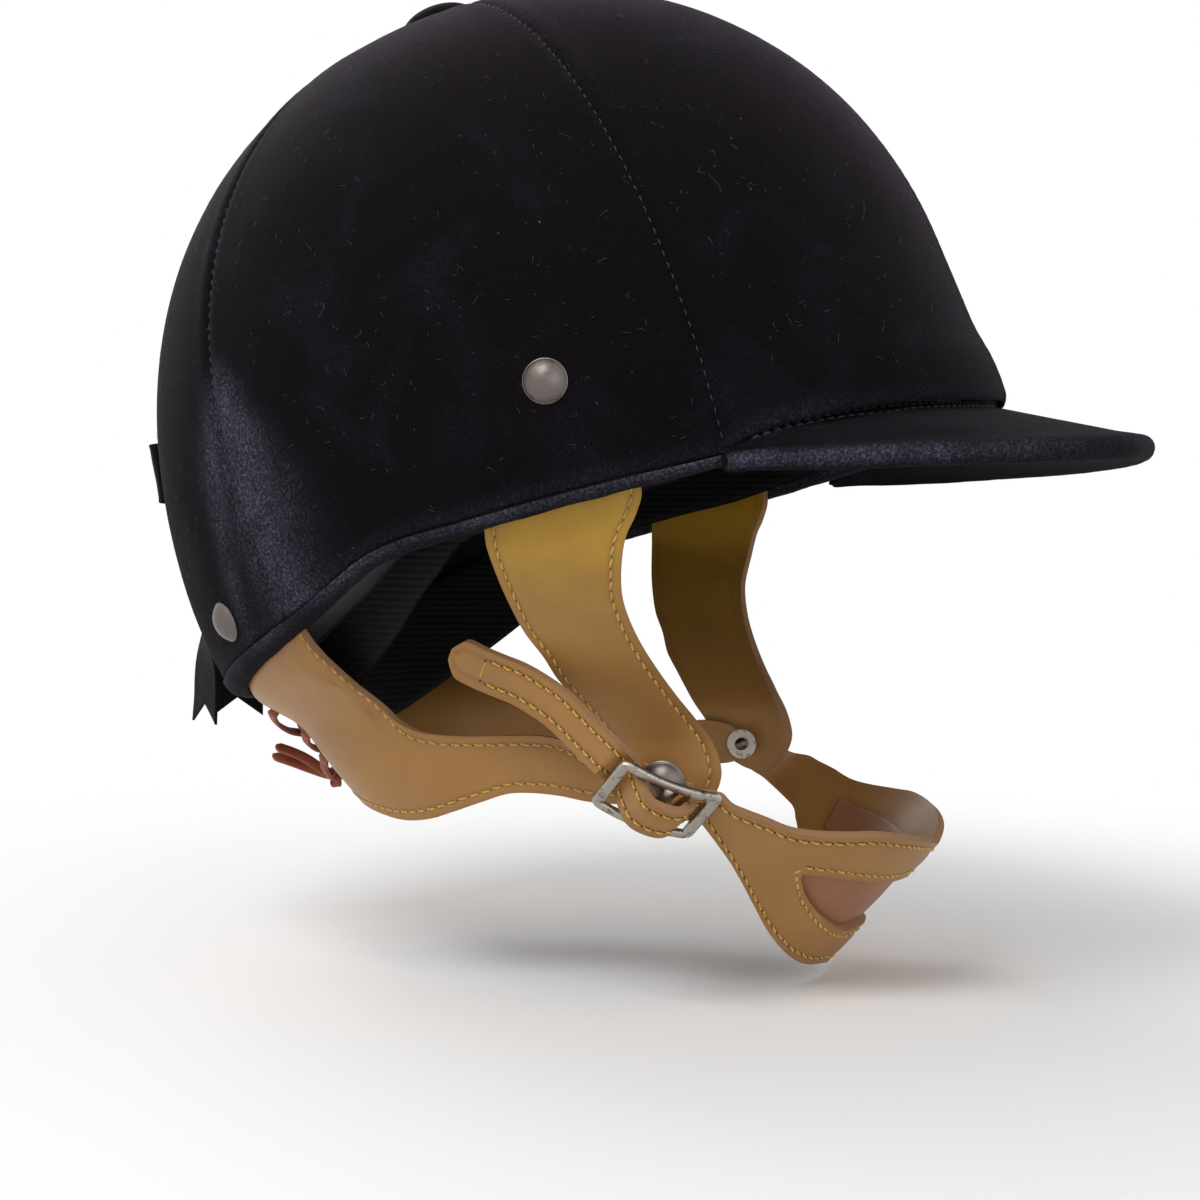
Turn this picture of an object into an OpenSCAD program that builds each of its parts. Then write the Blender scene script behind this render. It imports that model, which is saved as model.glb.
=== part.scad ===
// Riding helmet with a velvet cover, a stiff peak and a stitched leather harness.
// The front faces -Y, the wearer's right is -X and up is +Z.
// The origin is the middle of the head, at the girth of the crown. All sizes are in millimetres.

/* [Crown] */
// Half width of the cover at its girth
crown_half_w = 107.6; // [102:0.4:114]
// Reach of the cover ahead of the origin
crown_front = 126; // [120:1:132]
// Reach of the cover behind the origin
crown_back = 132; // [126:1:138]
// Height of the cover above the origin
crown_top = 129.8; // [122:0.2:138]
// Half height of the curve that draws the cover in below its girth
crown_drop = 159.5; // [152:0.5:175]
// Squareness of the crown's plan, where 2 is an ellipse
crown_square = 2.15; // [2:0.05:2.3]
// Lean of the button behind the top, in degrees
button_lean = 20; // [14:1:26]
// Turn of the front side seams from the middle of the front, in degrees
front_seam = 56.5; // [48:0.5:64]
// Turn of the rear side seams from the middle of the front, in degrees
rear_seam = 131.9; // [122:0.1:140]

/* [Layers] */
// Thickness of the velvet with its backing
cover_t = 1.6; // [1.2:0.1:2]
// Thickness of the hard shell
shell_t = 3; // [2.4:0.1:3.6]
// Thickness of the padded liner
liner_t = 16; // [12:0.5:18]
// Thickness of the fabric lining
lining_t = 1; // [0.8:0.1:1.4]
// Thickness of the headband
headband_t = 2.5; // [1.8:0.1:3.2]
// Height of the headband at the forehead
headband_h = 32; // [26:1:38]
// Gap between neighbouring layers
layer_gap = 0.3; // [0.25:0.05:0.4]
// Room between the shell and the straps and liner inside it
strap_room = 0.9; // [0.7:0.1:1.2]
// Gap between two gores at their seam
seam_gap = 0.4; // [0.3:0.05:0.6]

/* [Hem] */
// Drop of the hem at the front
hem_front = 5; // [3:0.5:8]
// Drop of the hem at the sides
hem_side = 40.5; // [36:0.5:44]
// Drop of the hem at the back
hem_back = 98; // [92:1:102]
// Height of the turned hem
hem_roll = 3.6; // [3:0.1:4.5]

/* [Peak] */
// Reach of the peak at its middle, from the crown to the tip
peak_reach = 54.8; // [46:0.4:60]
// Half angle that the peak wraps round the crown, in degrees
peak_wrap = 53; // [51:0.5:56]
// Thickness of the peak at its middle
peak_t = 7; // [6:0.2:8]
// Drop of the peak's tip below its root
peak_fall = 10.4; // [8:0.3:14]
// Swell of the cover over the peak's root
swell_t = 11.4; // [8:0.2:13]
// Height of that swell
swell_h = 45; // [38:1:50]

/* [Button and rivets] */
// Diameter of the covered button
button_d = 25; // [20:1:30]
// Height of the covered button
button_h = 7; // [5:0.5:9]
// Diameter of a rivet's domed head
rivet_d = 12.4; // [10:0.2:14]
// Height of a rivet's domed head
rivet_h = 3.2; // [2.4:0.2:4]
// Diameter of a rivet's shank
shank_d = 4; // [3:0.2:5]
// Clearance round a shank
shank_clear = 0.15; // [0.1:0.05:0.3]
// Diameter of a rivet's washer
washer_d = 10; // [8.4:0.2:12]
// Thickness of a washer
washer_t = 0.8; // [0.6:0.1:1.2]
// Height of the side rivet above the girth
side_rivet_z = 1.2; // [-3:0.2:5]
// Turn of the side rivet from the front, in degrees
side_rivet_turn = 77.4; // [74:0.2:80]
// Drop of the rear rivet below the girth
rear_rivet_drop = 67.4; // [64:0.2:71]
// Turn of the rear rivet from the front, in degrees
rear_rivet_turn = 140; // [136:0.5:144]

/* [Harness] */
// Thickness of a stitched double strap
strap_t = 2.6; // [2:0.1:3]
// Half distance between the outer faces of the two jaw joints
jaw_half = 60.5; // [56:0.5:64]
// Drop of the jaw rivets below the girth
jaw_drop = 111.3; // [106:0.3:116]
// Reach of the jaw rivets ahead of the origin
jaw_fwd = 47; // [44:0.5:50]
// Width of the chin strap's narrow part
strap_w = 12.7; // [11:0.1:14]
// Reach of the chin strap's middle ahead of the origin
chin_fwd = 102.6; // [98:0.2:107]
// Drop of the chin strap's middle below the girth
chin_drop = 153.6; // [148:0.2:159]
// Width of the chin strap at the chin
chin_w = 51.4; // [46:0.2:56]
// Thickness of the cup behind the chin strap
cup_t = 2; // [1.5:0.1:2.6]

/* [Buckle] */
// Length of the slide buckle
buckle_l = 32; // [31:0.2:34]
// Width of the slide buckle
buckle_w = 22; // [21:0.2:23.4]
// Width of the buckle's bars
bar_w = 3.4; // [2.8:0.1:3.8]
// Thickness of the buckle's bars
bar_t = 2; // [1.6:0.1:2.4]
// Height of the bow in the buckle's long sides
buckle_bow = 2.6; // [2:0.1:3.2]
// Distance of the buckle's middle outboard of the jaw joint
buckle_out = 13.6; // [13.4:0.1:14.4]
// Thickness of the loop that holds the buckle
loop_t = 1.4; // [1.1:0.1:1.6]
// Width of the loop that holds the buckle
loop_w = 7; // [6:0.2:8]

/* [Lace and bow] */
// Width of the nape lace
lace_w = 2.8; // [2.4:0.1:3]
// Thickness of the nape lace
lace_t = 1.2; // [0.9:0.1:1.4]
// Number of lace holes in each nape strap
lace_holes = 3; // [2:1:4]
// Width of the ribbon in the bow
ribbon_w = 18; // [14:1:20]
// Thickness of the ribbon in the bow
ribbon_t = 0.9; // [0.7:0.1:1.2]

/* [Hidden] */

velvet = "#17131b";
leather = "#a87c46";
cup_brown = "#8d5c43";
nickel = "#b8b4ae";
lace_brown = "#8a4a30";
black_fabric = "#1d1d20";

// Offsets of each face inside the cover's outer face
shell_out = cover_t + layer_gap;
shell_in = shell_out + shell_t;
strap_out = shell_in + strap_room;
strap_in = strap_out + strap_t;
liner_in = strap_out + liner_t;
lining_out = liner_in + layer_gap;
lining_in = lining_out + lining_t;
headband_out = lining_in + strap_room + 2 * layer_gap;
headband_in = headband_out + headband_t;
// The cover and shell end this far above the hem, on top of the turned hem
edge_rise = hem_roll + layer_gap;
liner_rise = 7;

// A point given as reach ahead, reach to the wearer's right and height
function place(ahead, right, up) = [-right, -ahead, up];
function unit(v) = v / norm(v);
function mirrored(pts) = [for (p = pts) [-p.x, p.y, p.z]];
function reversed(list) = [for (i = [len(list) - 1 : -1 : 0]) list[i]];
function smooth(t) = let (c = min(max(t, 0), 1)) c * c * (3 - 2 * c);

// Smooth curve through [position, value] pairs, held at its end values outside them
function slope(p, k) = let (a = max(k - 1, 0), b = min(k + 1, len(p) - 1)) (p[b][1] - p[a][1]) / (p[b][0] - p[a][0]);
function curve(p, at) =
    let (t = min(max(at, p[0][0]), p[len(p) - 1][0]))
    let (i = max([for (k = [0 : len(p) - 2]) if (t >= p[k][0]) k]))
    let (h = p[i + 1][0] - p[i][0], s = (t - p[i][0]) / h)
    (2 * s * s * s - 3 * s * s + 1) * p[i][1] + (s * s * s - 2 * s * s + s) * h * slope(p, i)
    + (3 * s * s - 2 * s * s * s) * p[i + 1][1] + (s * s * s - s * s) * h * slope(p, i + 1);

// Crown surface: a squared ellipse in plan and an ellipse in height
function plan_radius(turn, front, back, side, square) =
    let (run = cos(turn) > 0 ? front : back)
    pow(pow(abs(cos(turn)) / run, square) + pow(abs(sin(turn)) / side, square), -1 / square);
function crown_radius(turn, z, inset) =
    let (drop = (z > 0 ? crown_top : crown_drop) - inset)
    plan_radius(turn, crown_front - inset, crown_back - inset, crown_half_w - inset, crown_square)
    * sqrt(max(1 - pow(z / drop, 2), 0));
function round_point(turn, radius, z) = [-radius * sin(turn), -radius * cos(turn), z];
function crown_point(turn, z, inset) = round_point(turn, crown_radius(turn, z, inset), z);
function crown_ray(way, inset) =
    let (run = (way.y < 0 ? crown_front : crown_back) - inset)
    let (side = crown_half_w - inset, rise = (way.z > 0 ? crown_top : crown_drop) - inset)
    way / sqrt(pow(pow(abs(way.y) / run, crown_square) + pow(abs(way.x) / side, crown_square), 2 / crown_square)
        + pow(way.z / rise, 2));
// Outward direction square to the crown at a turn and height
function crown_normal(turn, z) =
    let (p = crown_point(turn, z, 0), run = p.y < 0 ? crown_front : crown_back)
    let (rise = z > 0 ? crown_top : crown_drop)
    let (plan = pow(abs(p.y) / run, crown_square) + pow(abs(p.x) / crown_half_w, crown_square))
    let (k = pow(plan, 2 / crown_square - 1), q = crown_square - 1)
    unit([sign(p.x) * k * pow(abs(p.x), q) / pow(crown_half_w, crown_square),
        sign(p.y) * k * pow(abs(p.y), q) / pow(run, crown_square), z / (rise * rise)]);

// Gores run down from the button, which leans back
button_axis = [0, sin(button_lean), cos(button_lean)];
function gore_way(turn, down) =
    cos(down) * button_axis
    + sin(down) * (cos(turn) * [0, -cos(button_lean), sin(button_lean)] + sin(turn) * [-1, 0, 0]);
function gore_point(turn, down, inset) = crown_ray(gore_way(turn, down), inset);

// Height of the hem round the crown
hem_curve = [[0, -hem_front], [30, -hem_front - 6], [60, -hem_side * 0.62], [90, -hem_side], [105, -hem_side * 1.21],
    [120, -hem_back * 0.67], [140, -hem_back * 0.835], [160, -hem_back * 0.945], [180, -hem_back * 0.98]];
function hem_z(turn) = curve(hem_curve, turn);
function turn_of(p) = atan2(abs(p.x), -p.y);
// Line where the peak meets the crown; over it the cover swells forward on a pad
peak_root = [[0, 1.5], [22, -1.3], [34, -4.3], [45, -9.6], [50, -13.8], [53, -17.3], [60, -23]];
function peak_fade(turn) = cos(min(abs(turn) / peak_wrap, 1) * 90);
function peak_root_z(turn) = curve(peak_root, abs(turn));
swell_curve = [[0, 1], [0.08, 0.975], [0.3, 0.7], [0.52, 0.33], [0.74, 0.14], [0.97, 0.03], [1.15, 0]];
function swell(turn, z) =
    abs(turn) < peak_wrap ? swell_t * pow(peak_fade(turn), 0.8) * curve(swell_curve, (z - peak_root_z(turn)) / swell_h) : 0;
function swelled(p) = let (s = swell(turn_of(p), p.z)) [p.x, p.y, p.z] + [p.x, p.y, 0] * s / norm([p.x, p.y]);
// Angle down from the button at which a gore line meets its lower edge, found by halving.
// The cover ends on the peak's root; the layers inside it go down to the hem.
function low_edge(turn, rise, on_peak) =
    let (hem = hem_z(turn) + rise) on_peak && turn < peak_wrap ? max(hem, peak_root_z(turn) + layer_gap) : hem;
function hem_down(turn, inset, rise, on_peak = false, low = 60, high = 158, steps = 15) =
    let (mid = (low + high) / 2, p = gore_point(turn, mid, inset))
    steps == 0 ? mid
    : p.z > low_edge(turn_of(p), rise, on_peak) ? hem_down(turn, inset, rise, on_peak, mid, high, steps - 1)
    : hem_down(turn, inset, rise, on_peak, low, mid, steps - 1);

// Solids from lists of points
function tri(a, b, c, d) = [[a, b, c], [a, c, d]];
function total(v, i = 0, sum = 0) = i == len(v) ? sum : total(v, i + 1, sum + v[i]);
module body(pts, faces) {
    turned = total([for (f = faces) pts[f[0]] * cross(pts[f[1]], pts[f[2]])]) > 0;
    polyhedron(points = pts, faces = turned ? [for (f = faces) [f[2], f[1], f[0]]] : faces);
}
// Skin over rings of equal length, closed to a loop or capped across from the ring's first half to its second
module skin(rings, loop = false) {
    n = len(rings);
    m = len(rings[0]);
    sides = [for (i = [0 : loop ? n - 1 : n - 2], j = [0 : m - 1])
        each tri(i * m + j, i * m + (j + 1) % m, (i + 1) % n * m + (j + 1) % m, (i + 1) % n * m + j)];
    caps = loop ? [] : [for (j = [0 : m / 2 - 2])
        each concat(tri(m - 1 - j, m - 2 - j, j + 1, j),
            tri((n - 1) * m + j, (n - 1) * m + j + 1, (n - 1) * m + m - 2 - j, (n - 1) * m + m - 1 - j))];
    body([for (r = rings) each r], concat(sides, caps));
}
// Slab between two grids of points, with the cells of the middle lane left out between two rows
module slab(outer, inner, lane = -1, first = 0, last = -1) {
    n = len(outer);
    m = len(outer[0]);
    back = n * m;
    function kept(i, j) = i >= 0 && j >= 0 && i < n - 1 && j < m - 1 && !(j == lane && i >= first && i < last);
    cells = [for (i = [0 : n - 2], j = [0 : m - 2]) if (kept(i, j))
        let (a = i * m + j, b = a + 1, c = b + m, d = a + m)
        each concat(tri(a, b, c, d), tri(back + d, back + c, back + b, back + a),
            kept(i - 1, j) ? [] : tri(b, a, back + a, back + b),
            kept(i + 1, j) ? [] : tri(d, c, back + c, back + d),
            kept(i, j - 1) ? [] : tri(a, d, back + d, back + a),
            kept(i, j + 1) ? [] : tri(c, b, back + b, back + c))];
    body(concat([for (r = outer) each r], [for (r = inner) each r]), cells);
}
// Ribbon along points, each with a direction across it, of even or listed width
function ribbon_ring(mid, across, out, half_w, t) =
    [mid + across * half_w + out * t / 2, mid - across * half_w + out * t / 2,
        mid - across * half_w - out * t / 2, mid + across * half_w - out * t / 2];
function along(pts, i) = unit(pts[min(i + 1, len(pts) - 1)] - pts[max(i - 1, 0)]);
function even(pts, n) =
    let (keyed = [for (i = [0 : len(pts) - 1]) [i, pts[i]]])
    [for (k = [0 : n]) curve(keyed, k * (len(pts) - 1) / n)];
module ribbon(pts, across, half_w, t, loop = false) {
    n = len(pts);
    skin([for (i = [0 : n - 1])
        let (ahead = loop ? unit(pts[(i + 1) % n] - pts[(i + n - 1) % n]) : along(pts, i))
        let (w = across[min(i, len(across) - 1)], side = unit(w - (w * ahead) * ahead))
        ribbon_ring(pts[i], side, cross(ahead, side), half_w[min(i, len(half_w) - 1)], t)], loop);
}
module aim(way) {
    rotate([0, acos(unit(way).z), atan2(way.y, way.x)]) children();
}

// Rivet places
side_rivet = [side_rivet_turn, side_rivet_z];
rear_rivet = [rear_rivet_turn, -rear_rivet_drop];
module at_rivets(sides = [1, -1], depth = 0, rear_depth = 0) {
    for (r = [concat(side_rivet, depth), concat(rear_rivet, rear_depth)], s = sides)
        translate(crown_point(r[0] * s, r[1], 0)) aim(crown_normal(r[0] * s, r[1])) translate([0, 0, -r[2]]) children();
}
module at_button() {
    translate(crown_ray(button_axis, 0)) aim(button_axis) children();
}
module rivet_holes(sides = [1, -1]) {
    at_rivets(sides) translate([0, 0, -20]) cylinder(d = shank_d + 2 * shank_clear, h = 30, $fn = 32);
}
module dome_head(d, h) {
    ball = (d * d / 4 + h * h) / (2 * h);
    rotate_extrude($fn = 48) intersection() {
        translate([0, h - ball]) circle(ball, $fn = 96);
        square([d / 2, h]);
    }
}

// Crown
gore_shares = [0, 0.09, 0.18, 0.27, 0.36, 0.45, 0.54, 0.63, 0.72, 0.8, 0.87, 0.92, 0.96, 1];
gore_cols = 8;
pole_down = 3.2;
gore_seams = [0, front_seam, rear_seam, 180, 360 - rear_seam, 360 - front_seam, 360];
function gore_grid(left, right, inset) = [for (share = gore_shares) [for (j = [0 : gore_cols])
    let (turn = left + (right - left) * j / gore_cols)
    let (down = pole_down + (hem_down(turn, inset, edge_rise, true) - pole_down) * share)
    let (trim = asin(seam_gap / 2 / (crown_half_w * sin(down))) * (1 - 2 * j / gore_cols))
    swelled(gore_point(turn + trim, down, inset))]];
module cover_gores() {
    color(velvet) difference() {
        for (g = [0 : len(gore_seams) - 2])
            slab(gore_grid(gore_seams[g], gore_seams[g + 1], 0), gore_grid(gore_seams[g], gore_seams[g + 1], cover_t));
        rivet_holes();
    }
}
// Turns of the gores' columns, which the shell shares, and even turns for the soft layers
shell_turns = [for (g = [0 : len(gore_seams) - 2], j = [0 : gore_cols - 1])
    gore_seams[g] + (gore_seams[g + 1] - gore_seams[g]) * j / gore_cols];
liner_turns = [for (k = [0 : 35]) k * 10];
module dome(out, in, rise, turns, shares, thin = 0, thin_z = 0) {
    rows = [for (inset = [out, in]) [for (a = turns) hem_down(a, inset + (inset == out ? thin : 0), rise)]];
    downs = [for (side = rows) concat([[for (d = side) 0.8]],
        [for (share = shares) [for (d = side) pole_down + (d - pole_down) * share]])];
    outer = [for (row = downs[0]) [for (k = [0 : len(turns) - 1])
        gore_point(turns[k], row[k], out + thin * smooth((thin_z - gore_point(turns[k], row[k], out).z) / 20))]];
    inner = [for (row = downs[1]) [for (k = [0 : len(turns) - 1]) gore_point(turns[k], row[k], in)]];
    skin(concat(outer, reversed(inner)));
}
module shell() {
    color("#3a2c22") difference() {
        dome(shell_out, shell_in, edge_rise, shell_turns, gore_shares);
        rivet_holes();
        at_button() translate([0, 0, -15]) cylinder(d = shank_d + 2 * shank_clear, h = 20, $fn = 32);
    }
}
liner_shares = [for (i = [0 : 8]) i / 8];
// The liner is made of pads: four over the crown and six round the walls, with thin joints between them
pad_top = 50;
module liner_joint(turn, top) {
    rotate([0, 0, turn]) translate([0, -layer_gap / 2, top - 300]) cube([200, layer_gap, 300]);
}
module liner() {
    color("#26262a") difference() {
        dome(strap_out, liner_in, liner_rise, liner_turns, liner_shares, strap_t + 4 * layer_gap, side_rivet_z + 30);
        at_rivets() translate([0, 0, -strap_in - washer_t - 3]) cylinder(d = washer_d + 1.4, h = 6, $fn = 32);
        at_button() translate([0, 0, -strap_out - washer_t - 2.2]) cylinder(d = 2 * washer_d + 1.4, h = 8, $fn = 32);
        translate([-200, -200, pad_top]) cube([400, 400, layer_gap]);
        for (turn = [0, 90, 180, 270]) liner_joint(turn, 200);
        for (turn = [31, 149]) liner_joint(turn, pad_top + layer_gap / 2);
    }
}
module crown_lining() {
    color(black_fabric) dome(lining_out, lining_in, liner_rise, liner_turns, liner_shares);
}

// Headband: a ribbed band round the head, which shows below the hem behind the side straps
band_drop = [[0, 2.5], [60, 2.5], [78, 0], [96, -1], [104, 5], [115, 8], [180, 8]];
module headband() {
    color(black_fabric) skin([for (k = [0 : 39])
        let (turn = k * 9, seen = turn > 180 ? 360 - turn : turn, low = hem_z(seen) - curve(band_drop, seen))
        let (mid_in = (headband_in + headband_out) / 2)
        [crown_point(turn, low + headband_h, headband_out), crown_point(turn, low + 1.2, headband_out),
            crown_point(turn, low, mid_in), crown_point(turn, low + 1.2, headband_in),
            crown_point(turn, low + headband_h, headband_in), crown_point(turn, low + headband_h + 1, mid_in)]], true);
}

// Turned hem: a soft roll under the edges of the cover and shell
hem_out = -0.4;
hem_in = strap_out - layer_gap;
hem_top = hem_roll - layer_gap;
module hem_binding() {
    color(velvet) skin([for (k = [0 : 59])
        let (turn = k * 6, seen = turn > 180 ? 360 - turn : turn, z = hem_z(seen))
        let (third = (hem_in - hem_out) / 3)
        [crown_point(turn, z + hem_top, hem_out), crown_point(turn, z + hem_roll * 0.35, hem_out),
            crown_point(turn, z, hem_out + third), crown_point(turn, z, hem_in - third),
            crown_point(turn, z + hem_roll * 0.35, hem_in), crown_point(turn, z + hem_top, hem_in)]], true);
}

// Peak
root_gap = 0.7;
peak_sag = [[0, 0], [5, 0.3], [10, 1], [20, 2.6], [30, 4.2], [40, 6.2], [45, 7.1], [50, 7.7], [53, 8.8]];
function peak_root_r(turn) = crown_radius(turn, peak_root_z(turn), 0) + root_gap;
function peak_rim_r(turn) = peak_root_r(turn) + 4.5 + (peak_reach - 4.5) * pow(peak_fade(turn), 1.1);
function peak_rim_z(turn) = peak_root_z(0) - peak_fall - curve(peak_sag, abs(turn));
function peak_thick(turn) = 4.6 + (peak_t - 4.6) * sqrt(peak_fade(turn));
// Outline of the peak in the upright plane at a turn, moved inwards by an inset
function peak_chain(turn, inset, root_inset = 0) =
    let (root = peak_root_r(turn) + root_inset, half = peak_thick(turn) / 2, rim = peak_rim_r(turn) - half)
    let (z0 = peak_root_z(turn) - half, z1 = peak_rim_z(turn) - half, round = half - inset)
    concat(
        [for (t = [0 : 0.25 : 0.76]) round_point(turn, root + (rim - root) * t, z0 + (z1 - z0) * t + round)],
        [for (a = [90 : -36 : -90]) round_point(turn, rim + round * cos(a), z1 + round * sin(a))],
        [for (t = [0.75 : -0.25 : -0.01]) round_point(turn, root + (rim - root) * t, z0 + (z1 - z0) * t - round)]);
module peak_cover() {
    color(velvet) skin([for (k = [-12 : 12]) let (turn = k / 12 * peak_wrap)
        concat(peak_chain(turn, 0), reversed(peak_chain(turn, cover_t)))]);
}
module peak_core() {
    color("#4a3a2c") skin([for (k = [-9 : 9]) peak_chain(k / 12 * peak_wrap, shell_out, 0.6)]);
}
// Pad that fills the swell between the shell and the cover
pad_wrap = 0.84;
pad_shares = [0, 0.1, 0.25, 0.4, 0.55, 0.75, 1];
module front_pad() {
    color(black_fabric) skin([for (k = [-11 : 11]) let (turn = k / 11 * peak_wrap * pad_wrap)
        let (heights = [for (share = pad_shares) peak_root_z(turn) + 2 * layer_gap + share * 0.62 * swell_h])
        concat([for (z = heights) round_point(turn, crown_radius(turn, z, cover_t), z)],
            [for (z = reversed(heights))
                round_point(turn, crown_radius(turn, z, cover_t) + max(swell(turn, z) - 0.8, 0.4), z)])]);
}

// Button and its shank
module button() {
    color(velvet) at_button() translate([0, 0, layer_gap]) dome_head(button_d, button_h);
}
module button_shank() {
    color(nickel) at_button() {
        translate([0, 0, -strap_out - 2]) cylinder(d = shank_d, h = strap_out + 2 + layer_gap, $fn = 32);
        translate([0, 0, -strap_out - washer_t]) cylinder(d = 2 * washer_d, h = washer_t, $fn = 48);
    }
}

// Rivets through the cover, shell and straps
module shell_rivets() {
    color(nickel) at_rivets() {
        translate([0, 0, layer_gap / 2]) dome_head(rivet_d, rivet_h);
        translate([0, 0, -strap_in - washer_t - 1])
            cylinder(d = shank_d, h = strap_in + washer_t + 1 + layer_gap, $fn = 32);
    }
}
// The washers lie a little deeper than the straps, most at the rear, where the nape straps start to draw in
side_washer_drop = 0.2;
rear_washer_drop = 0.6;
module rivet_washers() {
    color(nickel) at_rivets(depth = side_washer_drop, rear_depth = rear_washer_drop)
        translate([0, 0, -strap_in - washer_t]) difference() {
        cylinder(d = washer_d, h = washer_t - layer_gap / 2, $fn = 48);
        translate([0, 0, -1]) cylinder(d = shank_d + 2 * shank_clear, h = washer_t + 2, $fn = 32);
    }
}

// Harness surface: it follows the inside of the shell down to the hem, then draws in to the jaw and nape.
// Shares run from the jaw joint's half width to the crown's; heights are shares of the jaw's drop.
jaw_share = [[0.18, 0.87], [0.36, 0.81], [0.54, 0.55], [0.764, 0.19], [0.88, 0.035], [0.99, 0.02], [1.26, 0]];
flat_share = [[0.18, 0.9], [0.36, 0.82], [0.54, 0.54], [0.764, 0.17], [0.88, 0.02], [0.935, 0], [1.26, 0]];
nape_share = [[0.18, 0.947], [0.54, 0.871], [0.81, 0.742], [0.88, 0.69], [0.935, 0.636], [1.015, 0.576],
    [1.123, 0.485], [1.26, 0.36]];
draw_in = [[0, 30], [110, 30], [155, 10], [180, 10]];
neck_square_front = 2.7;
neck_square_back = 2.3;
// Height that the nape strap and its shares follow: the jaw's drop in front, the hem's drop behind
nape_below = 13.3;
function nape_drop(turn) = jaw_drop + (hem_back + nape_below - jaw_drop) * smooth((turn - 95) / 30);
function harness_point(turn, z, inset) =
    let (low = -z / jaw_drop, fold = smooth((hem_z(turn) - z) / curve(draw_in, turn)))
    let (side = jaw_half + 1 + (crown_half_w - jaw_half - 1) * curve(jaw_share, low) - inset)
    let (back = crown_back * curve(nape_share, -z / nape_drop(turn)) - inset)
    let (neck = plan_radius(turn, crown_front + 4 - inset, back, side, turn < 90 ? neck_square_front : neck_square_back))
    let (shell = crown_radius(turn, z, strap_out + inset), r = shell + (neck - shell) * fold, p = round_point(turn, r, z))
    let (flat = jaw_half + (crown_half_w - jaw_half) * curve(flat_share, low) - inset)
    low < 0.36 ? p : [-min(-p.x, flat), p.y, p.z];

// Side strap: its two edges as turns from the front, against the share of its length from the top
side_top = side_rivet_z + 13;
side_end = -jaw_drop - 9.5;
side_rear = [[0, 79.5], [0.03, 84], [0.1, 87.5], [0.4, 87.4], [0.49, 86.3], [0.55, 84.8], [0.61, 82.4], [0.66, 79.1],
    [0.71, 76.1], [0.76, 71.3], [0.81, 66.3], [0.87, 60.8], [0.92, 58.2], [0.965, 54.8], [0.99, 51], [1, 48.4]];
side_front = [[0, 75], [0.03, 70.5], [0.1, 66.5], [0.31, 63], [0.36, 63.8], [0.4, 65.1], [0.45, 65.6], [0.51, 65.2],
    [0.56, 63.8], [0.62, 60.9], [0.68, 56.9], [0.74, 52.2], [0.79, 47.9], [0.84, 44.3], [0.89, 42.9], [0.93, 43.1],
    [0.965, 44.4], [0.99, 46.2], [1, 47.6]];
side_rows = [0, 0.015, 0.04, 0.09, 0.15, 0.21, 0.27, 0.32, 0.37, 0.42, 0.47, 0.52, 0.57, 0.62, 0.67, 0.72, 0.77, 0.81,
    0.85, 0.88, 0.91, 0.935, 0.955, 0.97, 0.982, 0.992, 1];
side_cols = 5;
function side_ring(share) =
    let (z = side_top + (side_end - side_top) * share, a = curve(side_rear, share), b = curve(side_front, share))
    concat([for (j = [0 : side_cols]) harness_point(a + (b - a) * j / side_cols, z, 0)],
        [for (j = [side_cols : -1 : 0]) harness_point(a + (b - a) * j / side_cols, z, strap_t)]);
jaw_point = place(jaw_fwd, jaw_half, -jaw_drop);
module jaw_hole() {
    translate([-jaw_half - 10, jaw_point.y, jaw_point.z]) rotate([0, 90, 0])
        cylinder(d = shank_d + 2 * shank_clear, h = 24, $fn = 32);
}
module side_strap() {
    color(leather) difference() {
        skin([for (share = side_rows) side_ring(share)]);
        rivet_holes([1]);
        jaw_hole();
    }
}
module side_strap_right() {
    side_strap();
}
module side_strap_left() {
    mirror([1, 0, 0]) side_strap();
}

// Nape strap: its two edges as heights in shares of nape_drop, against the turn from the front
nape_low = [[49, 1.015], [50, 1.035], [54, 1.062], [60, 1.065], [68, 1.062], [76, 1.05], [84, 1.046], [91, 1.051],
    [100, 1.079], [108, 1.107], [115, 1.13], [123, 1.139], [132, 1.135], [150, 1.12], [165, 1.1], [169, 1.08]];
nape_high = [[49, 0.985], [50, 0.965], [54, 0.938], [60, 0.932], [68, 0.937], [75, 0.904], [82, 0.893], [93, 0.897],
    [105, 0.901], [114, 0.894], [119, 0.876], [122, 0.845], [124, 0.78], [125.5, 0.68], [127.5, 0.56], [131, 0.52],
    [150, 0.52], [158, 0.56], [165, 0.69], [169, 0.76]];
nape_rows = [49, 50, 52, 56, 61, 66, 71, 76, 81, 87, 93, 99, 105, 110, 115, 119, 122, 124, 125.5, 128, 132, 137, 143,
    149, 155, 160, 165, 169];
nape_cols = 5;
function nape_inset(turn) = (strap_t + 0.4) * (1 - smooth((turn - 92) / 26));
function nape_ring(turn) =
    let (a = -nape_drop(turn) * curve(nape_low, turn), b = -nape_drop(turn) * curve(nape_high, turn), in = nape_inset(turn))
    concat([for (j = [0 : nape_cols]) harness_point(turn, a + (b - a) * j / nape_cols, in)],
        [for (j = [nape_cols : -1 : 0]) harness_point(turn, a + (b - a) * j / nape_cols, in + strap_t)]);

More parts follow.
